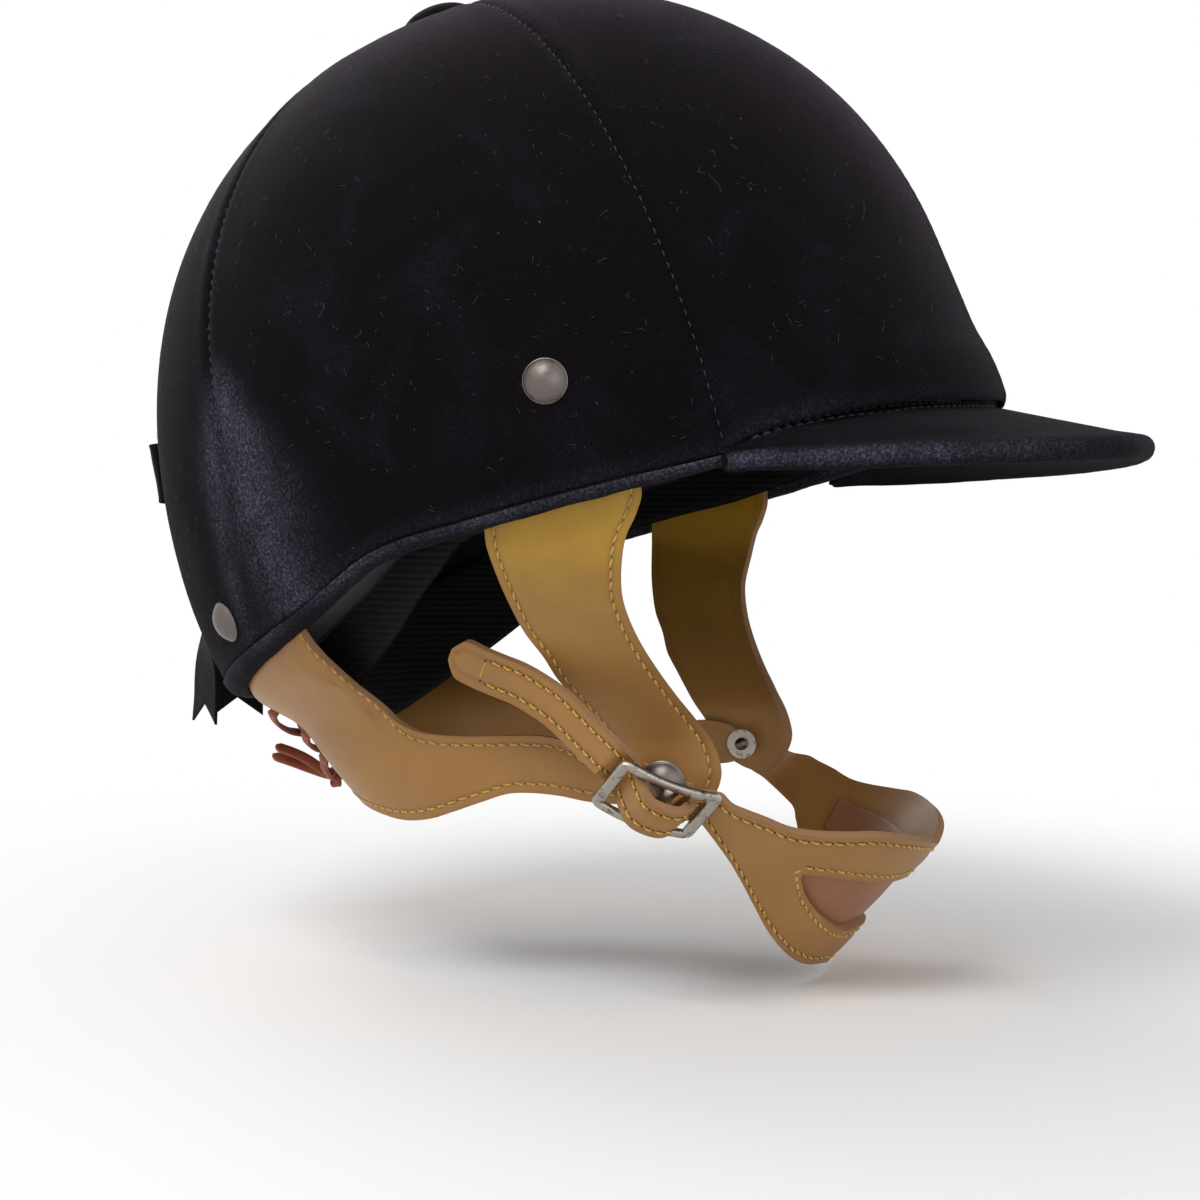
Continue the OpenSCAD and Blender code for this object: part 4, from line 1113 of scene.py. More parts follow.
    @staticmethod
    def turn_of(p: Array) -> Array:
        """Turn of a point from the front, from 0 to 180."""
        return np.degrees(np.arctan2(np.abs(p[..., 0]), -p[..., 1]))

    def swelled(self, p: Array) -> Array:
        """Points of the cover, moved out over the peak's root."""
        flat = p * np.array([1, 1, 0])
        return p + unit(flat) * self.swell(self.turn_of(p), p[..., 2])[..., None]

    def low_edge(self, turn: Array, rise: float, on_peak: bool) -> Array:
        """Height at which a layer ends: above the hem, or on the peak's root.

        Args:
            turn: Turns from 0 to 180.
            rise: Height above the hem.
            on_peak: Whether the layer stops at the peak's root.

        Returns:
            Heights.
        """
        hem = self.hem_z(turn) + rise
        if not on_peak:
            return hem
        return np.where(turn < self.peak_wrap, np.maximum(hem, self.root_z(turn) + self.gap), hem)

    def hem_down(self, turn: Array, inset: float, rise: float, on_peak: bool = False) -> Array:
        """Angle down from the button at which a layer ends, found by halving.

        Args:
            turn: Turns round the button, in degrees.
            inset: Distance inside the cover.
            rise: Height above the hem.
            on_peak: Whether the layer stops at the peak's root.

        Returns:
            Angles in degrees.
        """
        low, high = np.full(np.shape(turn), self.least_down), np.full(np.shape(turn), self.most_down)
        for _ in range(self.halvings):
            mid = (low + high) / 2
            p = self.gore_point(turn, mid, inset)
            above = p[..., 2] > self.low_edge(self.turn_of(p), rise, on_peak)
            low, high = np.where(above, mid, low), np.where(above, high, mid)
        return (low + high) / 2


@dataclass(frozen=True)
class Cover:
    """Six velvet gores, sewn edge to edge over the shell, with the covered button at their point."""

    crown: Crown
    finish: Palette
    pole_down: float = 3.2
    rows: int = 190
    columns: int = 40
    seam_dip: float = 0.85
    seam_w: float = 0.95
    allowance_at: float = 3.4
    allowance_h: float = 0.28
    pucker: float = 0.13
    stitch_pitch: float = 3.4
    seam_steps: int = 160
    first_stitch: float = 8.0
    strays: int = 1500
    stray_r: float = 0.048
    button_d: float = 25.0
    button_h: float = 7.0

    def end(self, turn: Array) -> Array:
        """Angle down from the button at which the gores end."""
        return self.crown.hem_down(turn, 0.0, self.crown.hem_roll + self.crown.gap, True)

    def painted_sheen(self, p: Array) -> Array:
        """How much painted sheen there is at points, where the pile lies over: along the rear folds and above the hem.

        Args:
            p: Points of the cover.

        Returns:
            Shares from 0 to 1.
        """
        turn, z = self.crown.turn_of(p), p[..., 2]
        line = curve([(-70, 119.5), (-48, 122.5), (-22, 127), (8, 132.5)], z)
        width = curve([(-70, 6.5), (-30, 7.5), (0, 3.5), (12, 1.5)], z)
        band = np.exp(-(((turn - line) / width) ** 2)) * smooth((14 - z) / 16) * smooth((z + 76) / 14)
        streak = 0.75 + 0.35 * wobble(p * np.array([1, 1, 0.25]), 3.2, 7.0)
        cloudy = 0.8 + 0.4 * wobble(p, 17.0, 3.0)
        above_hem = z - self.crown.low_edge(turn, 3.9, True)
        hem = 0.1 * smooth((7 - above_hem) / 7)
        second = 0.3 * np.exp(-(((turn - 134.5) / 2.2) ** 2)) * smooth((5 - z) / 20) * smooth((z + 80) / 20)
        return np.clip(0.62 * band * streak * cloudy + hem * cloudy + second * streak, 0, 1)

    def folds(self, p: Array) -> Array:
        """How far the cloth dips into its creases at points, in millimetres.

        Args:
            p: Points of the cover.

        Returns:
            Depths, which are negative where the cloth stands up beside a crease.
        """
        turn, z = self.crown.turn_of(p), p[..., 2]
        reach = smooth((-8 - z) / 14) * smooth((z + 82) / 10)
        crease = 123.4 + (z + 19.8) * 0.088
        off = np.radians(turn - crease) * self.crown.half_w
        first = 1.05 * hump(off, 1.3) - 0.5 * hump(off + 4.0, 2.6)
        second_off = np.radians(turn - (133.6 + (z + 40) * 0.05)) * self.crown.half_w
        second = 0.75 * hump(second_off, 1.1) - 0.4 * hump(second_off - 3.4, 2.2)
        return (first + second) * reach

    def gore(self, left: float, right: float) -> tuple[Solid, Array]:
        """One gore between two seams, as a solid with its painted sheen.

        Args:
            left: Turn of its first seam.
            right: Turn of its second seam.

        Returns:
            The solid, and the painted sheen of each point.
        """
        crown = self.crown
        share = np.linspace(0, 1, self.rows)[:, None]
        u = (0.5 - 0.5 * np.cos(np.linspace(0, math.pi, self.columns)))[None]
        turn = left + (right - left) * u
        down = self.pole_down + (self.end(turn) - self.pole_down) * share
        span = np.radians(right - left) * crown.half_w * np.sin(np.radians(down))
        off = np.minimum(u, 1 - u) * span
        run = np.radians(down) * crown.half_w
        flat = crown.gore_point(turn, down, 0.0)
        dip = self.seam_dip * hump(off, self.seam_w) - self.allowance_h * hump(off - self.allowance_at, 1.6)
        dip += self.pucker * np.cos(2 * math.pi * run / self.stitch_pitch) * hump(off, 2.6)
        dip += self.folds(flat) - 0.32 * wobble(flat, 26.0, 1.0) * smooth(off / 12)
        low = crown.turn_of(flat)
        hem_off = flat[..., 2] - crown.low_edge(low, crown.hem_roll + crown.gap, True)
        dip += 0.35 * hump(hem_off, 1.2) + 0.12 * wobble(flat, 6.0, 9.0) * smooth((10 - hem_off) / 10)
        dip = np.clip(dip, -0.9, 1.35)
        outer = crown.swelled(crown.gore_point(turn, down, dip))
        inner = crown.swelled(crown.gore_point(turn, down, crown.cover_t))
        # Painted sheen on the outer face only
        painted_silver_sheen = self.painted_sheen(flat)
        return slab(outer, inner), np.concatenate([painted_silver_sheen.ravel(), np.zeros(painted_silver_sheen.size)])

    def seam_row(self, seam: float) -> Solid:
        """Stitches that show in the valley of one seam.

        Args:
            seam: Turn of the seam, in degrees.

        Returns:
            The stitches as one solid.
        """
        crown = self.crown
        turn = np.full(self.seam_steps, seam)
        end = self.end(turn)
        down = np.linspace(0, 1, self.seam_steps) * (end - self.first_stitch - 1) + self.first_stitch
        path = crown.swelled(crown.gore_point(turn, down, self.seam_dip - 0.12))
        thread = Thread(pitch=self.stitch_pitch, length=1.9, radius=0.2, proud=0.12, sunk=0.25, slant=0.0, hole=0.0)
        return thread.row(path, unit(path))

    def button(self) -> Solid:
        """The covered button: a dome of gathered velvet with a rolled rim.

        Returns:
            The solid.
        """
        way, crown = self.crown.button_way, self.crown
        base = crown.ray(way, 0.0)
        side = np.array([1.0, 0, 0])
        other = np.cross(way, side)
        a = around(120)
        round_way = np.cos(a)[:, None] * side + np.sin(a)[:, None] * other
        rings = []
        r, h = self.button_d / 2, self.button_h
        for t in np.linspace(0, 1, 26):
            angle = t * math.pi * 0.62
            radius = r * math.sin(angle) if angle < math.pi / 2 else r * (1 - 0.1 * ((angle - math.pi / 2) / 0.38) ** 2)
            height = crown.gap + h * max(math.cos(angle) * 0.86 + 0.14, 0.0)
            tuck = 0.16 * smooth((t - 0.45) / 0.4) * np.cos(a * 14 + np.sin(a * 3) * 0.8)
            rings.append(base + (radius + tuck)[:, None] * round_way + height * way)
        low = base + (r - 1.6) * round_way + crown.gap * way
        return loft(np.array(rings + [low]))

    def lint(self) -> Solid:
        """Stray fibres caught in the pile, more of them low at the front and on the sides.

        Returns:
            The fibres as one solid.
        """
        crown, draw = self.crown, np.random.RandomState(11)
        turn, share = draw.uniform(0, 360, self.strays), draw.beta(1.6, 1.2, self.strays)
        end = self.end(turn)
        down = self.pole_down + (end - self.pole_down - 3) * share + 2
        root = crown.swelled(crown.gore_point(turn, down, -0.12))
        east = unit(crown.swelled(crown.gore_point(turn + 0.4, down, -0.12)) - root)
        south = unit(crown.swelled(crown.gore_point(turn, down + 0.4, -0.12)) - root)
        angle, bend = draw.uniform(0, 2 * math.pi, (self.strays, 1)), draw.uniform(-0.9, 0.9, (self.strays, 1))
        way = east * np.cos(angle) + south * np.sin(angle)
        side = (south * np.cos(angle) - east * np.sin(angle)) * bend
        side = side + unit(root) * draw.uniform(-0.02, 0.12, (self.strays, 1))
        return fibres(root, way, side, draw.gamma(1.6, 0.55, self.strays) + 0.35, self.stray_r)

    def build(self) -> None:
        """Makes the gores, their seams and the button."""
        crown, finish = self.crown, self.finish
        names = ["front_right", "side_right", "rear_right", "rear_left", "side_left", "front_left"]
        seams = [0, crown.front_seam, crown.rear_seam, 180, 360 - crown.rear_seam, 360 - crown.front_seam, 360]
        for name, left, right in zip(names, seams, seams[1:]):
            solid, painted_sheen = self.gore(left, right)
            paint = {"painted_sheen": painted_sheen}
            made = piece("gore_" + name, solid, [finish.velvet], "helmet", ["cover_gores"], paint=paint)
        rows = joined([self.seam_row(s) for s in seams[:-1]])
        piece("seam_stitches", rows, [finish.black_thread], "helmet")
        piece("covered_button", self.button(), [finish.velvet], "helmet", ["button"])
        piece("lint", self.lint(), [finish.lint], "helmet")


@dataclass(frozen=True)
class Hem:
    """The turned hem: a soft velvet roll under the edges of the cover and shell."""

    crown: Crown
    finish: Palette
    outer: float = -0.5
    inner: float = 5.5
    cloth_t: float = 1.1
    steps: int = 420

    def build(self) -> None:
        """Makes the roll."""
        crown = self.crown
        turn = np.linspace(0, 360, self.steps, endpoint=False)
        seen = np.where(turn > 180, 360 - turn, turn)
        z = crown.hem_z(seen)
        a = np.radians(np.linspace(-20, 200, 17))
        mid, half = (self.inner + self.outer) / 2, (self.inner - self.outer) / 2
        wide, deep = np.sign(np.cos(a)) * np.abs(np.cos(a)) ** 0.75, np.maximum(np.sin(a), 0) ** 0.8
        inset = np.concatenate([mid - half * wide, (mid - (half - self.cloth_t) * wide)[::-1]])
        behind = crown.hem_roll * (1 - deep * (1 - self.cloth_t / crown.hem_roll))
        rise = np.concatenate([crown.hem_roll * (1 - deep), behind[::-1]])
        rings = np.stack([crown.point(turn, z + r, i) for i, r in zip(inset, rise)], 1)
        gather = wobble(rings, 7.5, 4.0) * 0.3 + wobble(rings, 2.6, 5.0) * 0.1
        centre = rings.mean(1, keepdims=True)
        rings = rings + unit(rings - centre) * gather[..., None]
        # Painted sheen on the roll, fading out on its underside
        painted_sheen = 0.26 + 0.3 * wobble(rings, 22.0, 8.0)
        painted_sheen = painted_sheen * smooth((np.array(rise)[None] + 1.0) / 4.0)
        made = piece("hem_roll", loft(rings, True), [self.finish.velvet], "helmet", ["hem_binding"],
                     paint={"painted_sheen": np.clip(painted_sheen, 0, 1)})


@dataclass(frozen=True)
class Peak:
    """The stiff peak: a board core inside stitched velvet with a rolled rim."""

    crown: Crown
    finish: Palette
    root_gap: float = 0.7
    reach: float = 54.8
    thick: float = 7.0
    edge_thick: float = 4.6
    fall: float = 10.4
    end_reach: float = 4.5
    steps: int = 181
    face_steps: int = 22
    rim_steps: int = 15

    def chain(self, turn: Array, inset: float) -> Array:
        """Outline of the peak in the upright plane at each turn, moved inwards by an inset.

        Args:
            turn: Turns from the front, in degrees.
            inset: Distance inside the velvet.

        Returns:
            A row of points for each turn, from the root's top round the rim to its underside.
        """
        crown = self.crown
        fade = crown.fade(turn)
        root = crown.radius(turn, crown.root_z(turn), 0.0) + self.root_gap
        half = (self.edge_thick + (self.thick - self.edge_thick) * np.sqrt(fade)) / 2
        rim = root + self.end_reach + (self.reach - self.end_reach) * fade**1.1 - half
        knots = [(0, 0), (5, 0.3), (10, 1), (20, 2.6), (30, 4.2), (40, 6.2), (45, 7.1), (50, 7.7), (53, 8.8)]
        sag = curve(knots, np.abs(turn))
        z0 = crown.root_z(turn) - half
        z1 = crown.root_z(np.array(0.0)) - self.fall - sag - half
        body = half - inset
        points = []
        for t in np.linspace(0, 1, self.face_steps)[:-1]:
            lip = 0.35 * smooth((t - 0.86) / 0.14)
            seam = -0.55 * hump(np.asarray((rim - root) * t - 4.2), 0.8) if inset == 0 else 0.0
            points.append(crown.spot(turn, root + (rim - root) * t, z0 + (z1 - z0) * t + body + lip + seam))
        for a in np.radians(np.linspace(90, -90, self.rim_steps)):
            swell = body + 0.35
            points.append(crown.spot(turn, rim + body * 1.02 * math.cos(a), z1 + swell * math.sin(a)))
        for t in np.linspace(1, 0, self.face_steps)[1:]:
            lip = 0.35 * smooth((t - 0.86) / 0.14)
            points.append(crown.spot(turn, root + (rim - root) * t, z0 + (z1 - z0) * t - body - lip))
        return np.stack(points, 1)

    def build(self) -> None:
        """Makes the velvet cover of the peak and its seams."""
        turn = np.linspace(-self.crown.peak_wrap, self.crown.peak_wrap, self.steps)
        outer = self.chain(turn, 0.0)
        k = np.arange(outer.shape[1])
        rim = self.face_steps - 1 + self.rim_steps // 2
        rim_share = hump(k - rim, 9.0)
        gather = (0.28 * wobble(outer, 6.5, 2.0) + 0.1 * wobble(outer, 2.4, 6.0)) * (0.25 + rim_share)[None]
        centre = outer.mean(1, keepdims=True)
        outer = outer + unit(outer - centre) * gather[..., None]
        inner = self.chain(turn, self.crown.cover_t)
        rings = np.concatenate([outer, inner[:, ::-1]], 1)
        # Painted sheen along the top of the rolled rim, stronger towards the sides
        side = smooth((np.abs(turn) - 12) / 30)[:, None]
        top_band = hump(k - rim + 0.5, 4.0)[None] * (0.42 * side + 0.08)
        cloud = 0.8 + 0.5 * wobble(outer, 13.0, 5.0)
        painted_sheen = np.concatenate([np.clip(top_band * cloud, 0, 1), np.zeros(inner.shape[:2])], 1)
        made = piece("peak_velvet", loft(rings), [self.finish.velvet], "helmet", ["peak_cover"],
                     paint={"painted_sheen": painted_sheen})
        thread = Thread(pitch=3.2, length=2.3, radius=0.26, proud=0.16, sunk=0.25, slant=0.0, hole=0.0)
        rows = []
        for t in (1, 3):
            path = outer[6:-6, t]
            up = unit(outer[6:-6, t] - inner[6:-6, t])
            rows.append(thread.row(path, up))
        piece("peak_stitches", joined(rows), [self.finish.black_thread], "helmet")


# Harness


@dataclass(frozen=True)
class Leather:
    """How a double strap is cut and sewn: its columns across, its stitch grooves and its crown."""

    thick: float = 2.6
    inset: float = 2.7
    groove: float = 0.42
    groove_w: float = 0.7
    crowned: float = 0.25

    def shares(self, width: Array, middle: int = 9) -> Array:
        """Shares across a strap of each width, close together at the edges and grooves.

        Args:
            width: Width at each row.
            middle: Columns between the grooves.

        Returns:
            A row of shares for each width.
        """
        near = np.array([0, 0.3, 0.8, 1.5, 2.1, 2.7, 3.3, 3.9, 4.8])
        scale = np.minimum(1, width / 2 / 5.4)[:, None]
        edge = near[None] * scale / width[:, None]
        steps = np.linspace(0, 1, middle + 2)[1:-1][None]
        inside = edge[:, -1:] + (1 - 2 * edge[:, -1:]) * steps
        return np.concatenate([edge, inside, 1 - edge[:, ::-1]], 1)

    def dip(self, off: Array, width: Array) -> Array:
        """How deep the face lies at a distance from the nearer edge."""
        wide = smooth((width - 6) / 3)
        return self.groove * hump(off - self.inset, self.groove_w) * wide - self.crowned * smooth((off - 3.5) / 4)


@dataclass(frozen=True)
class Harness:
    """Side and nape straps, riveted inside the shell and joined at the jaw."""

    crown: Crown
    finish: Palette
    cut: Leather = Leather()
    jaw_half: float = 60.5
    jaw_drop: float = 111.3
    jaw_fwd: float = 47.0
    side_rivet_z: float = 1.2
    side_rivet_turn: float = 77.4
    rear_rivet_turn: float = 140.0
    rear_rivet_drop: float = 67.4
    rivet_d: float = 12.4
    rivet_h: float = 3.2
    shank_d: float = 4.0
    right_seat: float = 1.9
    left_seat: float = 3.1
    lace_turn: float = 164.0
    lace_w: float = 2.8
    lace_holes: int = 3

    def point(self, turn: Array, z: Array, inset: Array | float = 0.0) -> Array:
        """Point of the harness surface: inside the shell down to the hem, then drawn in to jaw and nape.

        Args:
            turn: Turns from the front, in degrees.
            z: Heights.
            inset: Distance behind the surface.

        Returns:
            Points in millimetres.
        """
        crown = self.crown
        turn, z = np.broadcast_arrays(np.asarray(turn, float), np.asarray(z, float))
        low = -z / self.jaw_drop
        jaw = [(0.18, 0.87), (0.36, 0.81), (0.54, 0.55), (0.764, 0.19), (0.88, 0.035), (0.99, 0.02), (1.26, 0)]
        flat_knots = [(0.18, 0.9), (0.36, 0.82), (0.54, 0.54), (0.764, 0.17), (0.88, 0.02), (0.935, 0), (1.26, 0)]
        nape = [(0.18, 0.947), (0.54, 0.871), (0.81, 0.742), (0.88, 0.69), (0.935, 0.636), (1.015, 0.576),
                (1.123, 0.485), (1.26, 0.36)]
        fold = smooth((crown.hem_z(turn) - z) / curve([(0, 30), (110, 30), (155, 10), (180, 10)], turn))
        side = self.jaw_half + 1 + (crown.half_w - self.jaw_half - 1) * curve(jaw, low) - inset
        back = crown.back * curve(nape, low) - inset
        neck = crown.plan(turn, crown.front + 4 - inset, back, side, np.where(turn < 90, 2.7, 2.3))
        shell = crown.radius(turn, z, crown.strap_out + inset)
        p = crown.spot(turn, shell + (neck - shell) * fold, z)
        flat = self.jaw_half + (crown.half_w - self.jaw_half) * curve(flat_knots, low) - inset
        x = np.where(low < 0.36, p[..., 0], -np.minimum(-p[..., 0], flat))
        return np.stack([x, p[..., 1], p[..., 2]], -1)

    def out(self, turn: Array, z: Array) -> Array:
        """Direction off the harness surface."""
        up = self.point(turn, z + 1) - self.point(turn, z - 1)
        return unit(np.cross(up, self.point(turn + 1, z) - self.point(turn - 1, z)))

    @property
    def jaw(self) -> Array:
        """Place of the right jaw rivet on the outer face of the joint."""
        return place(self.jaw_fwd, self.jaw_half, -self.jaw_drop)

    def strap(
        self, turn: Array, z: Array, shares: Array, width: Array, inset: Array | float
    ) -> tuple[Solid, Array, Array]:
        """A strap from its turns and heights.

        Args:
            turn: Turns of the grid.
            z: Heights of the grid.
            shares: Shares across the strap.
            width: Width at each row.
            inset: How far the whole strap lies behind the harness surface.

        Returns:
            The solid, its rubbing and its outer grid.
        """
        off = np.minimum(shares, 1 - shares) * width[:, None]
        dip = self.cut.dip(off, width[:, None])
        outer = self.point(turn, z, inset + dip)
        inner = self.point(turn, z, inset + self.cut.thick)
        rub = 0.42 * hump(off, 0.9) + 0.6 * hump(off - self.cut.inset, 0.85)
        return slab(outer, inner), np.concatenate([rub.ravel(), rub.ravel() * 0.5]), outer

    def side_grid(self) -> tuple[Solid, Array, list[tuple[Array, Array]]]:
        """The right side strap, its rubbing and its two stitch lines.

        Returns:
            The solid, its rubbing, and the path and outward direction of each line.
        """
        rear = [(0, 79.5), (0.03, 84), (0.1, 87.5), (0.4, 87.4), (0.49, 86.3), (0.55, 84.8), (0.61, 82.4), (0.66, 79.1),
                (0.71, 76.1), (0.76, 71.3), (0.81, 66.3), (0.87, 60.8), (0.92, 58.2), (0.965, 54.8), (0.99, 51),
                (1, 48.4)]
        fore = [(0, 75), (0.03, 70.5), (0.1, 66.5), (0.31, 63), (0.36, 63.8), (0.4, 65.1), (0.45, 65.6), (0.51, 65.2),
                (0.56, 63.8), (0.62, 60.9), (0.68, 56.9), (0.74, 52.2), (0.79, 47.9), (0.84, 44.3), (0.89, 42.9),
                (0.93, 43.1), (0.965, 44.4), (0.99, 46.2), (1, 47.6)]
        t = np.linspace(0, 1, 170)
        share = 0.6 * t + 0.4 * (0.5 - 0.5 * np.cos(t * math.pi))
        top, end = self.side_rivet_z + 13, -self.jaw_drop - 9.5
        z = top + (end - top) * share
        a, b = curve(rear, share), curve(fore, share)
        width = np.linalg.norm(self.point(a, z) - self.point(b, z), axis=-1)
        shares = self.cut.shares(width)
        turn = a[:, None] + (b - a)[:, None] * shares
        solid, rub, outer = self.strap(turn, z[:, None], shares, width, 0.0)
        return solid, rub, self.lines(outer, slice(12, -9))

    def nape_grid(self) -> tuple[Solid, Array, list[tuple[Array, Array]]]:
        """The right nape strap, its rubbing and its two stitch lines.

        Returns:
            The solid, its rubbing, and the path and outward direction of each line.
        """
        low = [(49, 1.015), (50, 1.035), (54, 1.062), (60, 1.065), (68, 1.062), (76, 1.05), (84, 1.046), (91, 1.051),
               (100, 1.079), (108, 1.107), (115, 1.13), (123, 1.139), (132, 1.135), (150, 1.12), (165, 1.1),
               (169, 1.08)]
        high = [(49, 0.985), (50, 0.965), (54, 0.938), (60, 0.932), (68, 0.937), (75, 0.904), (82, 0.893), (93, 0.897),
                (105, 0.901), (114, 0.894), (119, 0.876), (122, 0.845), (124, 0.78), (125.5, 0.68), (127.5, 0.56),
                (131, 0.52), (150, 0.52), (158, 0.56), (165, 0.69), (169, 0.76)]
        t = np.linspace(0, 1, 230)
        turn = 49 + 120 * (0.75 * t + 0.25 * (0.5 - 0.5 * np.cos(t * math.pi)))
        a, b = -self.jaw_drop * curve(low, turn), -self.jaw_drop * curve(high, turn)
        width = np.linalg.norm(self.point(turn, a) - self.point(turn, b), axis=-1)
        shares = self.cut.shares(width, 14)
        z = a[:, None] + (b - a)[:, None] * shares
        behind = (self.cut.thick + 0.4) * (1 - smooth((turn - 92) / 26))
        solid, rub, outer = self.strap(np.repeat(turn[:, None], shares.shape[1], 1), z, shares, width, behind[:, None])
        return solid, rub, self.lines(outer, slice(10, -6))

    @staticmethod
    def lines(outer: Array, rows: slice) -> list[tuple[Array, Array]]:
        """Stitch lines along both edges of a strap's outer grid, each with its direction off the strap.

        Args:
            outer: The strap's outer grid.
            rows: Rows that are sewn.

        Returns:
            The path and the outward direction of each line.
        """
        a = np.gradient(outer, axis=0)
        b = np.gradient(outer, axis=1)
        out = unit(np.cross(a, b))
        middle = outer[len(outer) // 2, outer.shape[1] // 2]
        if (out[len(outer) // 2, outer.shape[1] // 2] * middle * np.array([1, 1, 0])).sum() < 0:
            out = -out
        return [(outer[rows, k], out[rows, k]) for k in (5, -6)]

    @staticmethod
    def dome(diameter: float, height: float) -> list[tuple[float, float]]:
        """Profile of a domed rivet head from its top down, with a softened rim.

        Args:
            diameter: Diameter of the head.
            height: Height of the head.

        Returns:
            Radius and height of each step.
        """
        r = diameter / 2
        ball = (r * r + height * height) / (2 * height)
        reach = math.asin(r / ball)
        steps = [(ball * math.sin(t), height - ball + ball * math.cos(t)) for t in np.linspace(0.02, reach * 0.985, 22)]
        return [(0.01, height)] + steps + [(r + 0.02, 0.12), (r + 0.05, -0.12), (r - 0.4, -0.2)]

    def rivets(self) -> Solid:
        """The four rivets through the cover, shell and straps.

        Returns:
            The rivets as one solid.
        """
        crown, made = self.crown, []
        for turn, z in ((self.side_rivet_turn, self.side_rivet_z), (self.rear_rivet_turn, -self.rear_rivet_drop)):
            for side in (1, -1):
                base = crown.point(np.array(turn * side), np.array(z), 0.0)
                way = crown.normal(turn * side, z)
                shank = [(self.shank_d / 2, -0.2), (self.shank_d / 2, -11.2), (self.shank_d / 2 - 0.6, -11.6)]
                made.append(lathe(self.dome(self.rivet_d, self.rivet_h) + shank, base + 0.15 * way, way))
        return joined(made)

    def jaw_rivet(self, seat: float) -> Solid:
        """The right jaw rivet on what it holds.

        Args:
            seat: Height of its head off the joint.

        Returns:
            The solid.
        """
        way = np.array([-1.0, 0, 0])
        base = self.jaw + way * seat
        shank = [(self.shank_d / 2, -0.2), (self.shank_d / 2, -8.6 - seat)]
        head = self.dome(self.rivet_d, self.rivet_h - 0.4)
        flange = [(self.rivet_d / 2 + 0.5, 0.3), (self.rivet_d / 2 + 0.5, 0.02), (self.rivet_d / 2 - 0.2, 0.0)]
        return lathe(head[:-3] + flange + shank, base, way)

    def build(self) -> None:
        """Makes the straps, their stitches and the rivets."""
        finish = self.finish
        for kind, (solid, rub, lines) in (("side", self.side_grid()), ("nape", self.nape_grid())):
            for hand in ("right", "left"):
                name = f"{kind}_strap_{hand}"
                shape = solid if hand == "right" else solid.mirror()
                made = piece(name + "_leather", shape, [finish.leather, finish.edge], "helmet", [name],
                             Edge.BURNISHED, {"rub": rub})
                if kind == "nape":
                    self.punch(made, hand)
                sewn = joined([Thread().row(path, out) for path, out in lines])
                sewn = sewn if hand == "right" else sewn.mirror()
                piece(name + "_stitches", sewn, [finish.thread, finish.hole], "helmet")
        piece("crown_rivets", self.rivets(), [finish.rivet], "helmet", ["shell_rivets"])
        caps = {"right": self.jaw_rivet(self.right_seat), "left": self.jaw_rivet(self.left_seat).mirror()}
        for hand, cap in caps.items():
            piece("jaw_rivet_cap_" + hand, cap, [finish.rivet], "helmet", ["jaw_rivet_" + hand])

    def lace_z(self, row: Array | float) -> Array:
        """Height of a row of lace holes."""
        return -self.jaw_drop * 0.88 - np.asarray(row) * self.jaw_drop * 0.063

    def punch(self, strap: bpy.types.Object, hand: str) -> None:
        """Cuts the lace holes through a nape strap.

        Args:
            strap: The strap.
            hand: Its side.
        """
        tools = []
        for row in range(self.lace_holes):
            z = self.lace_z(row)
            turn = np.array(self.lace_turn)
            way = self.out(turn, z)
            base = self.point(turn, z, 1.3) - way * 6
            r = (self.lace_w + 2.8) / 2
            tools.append(lathe([(r, 0.0), (r, 12.0)], base, way, 32))
        cutter = joined(tools)
        cutter = cutter if hand == "right" else cutter.mirror()
        tool = bpy.data.objects.new("punch", mesh_of("punch", cutter))
        bpy.context.scene.collection.objects.link(tool)
        cut = strap.modifiers.new("holes", "BOOLEAN")
        cut.operation, cut.solver, cut.object = "DIFFERENCE", "EXACT", tool
        strap.modifiers.move(len(strap.modifiers) - 1, 0)
        bpy.context.view_layer.update()
        bpy.context.view_layer.objects.active = strap
        with bpy.context.temp_override(object=strap, active_object=strap):
            bpy.ops.object.modifier_apply(modifier=cut.name)
        bpy.data.objects.remove(tool)


# Chin strap and buckle


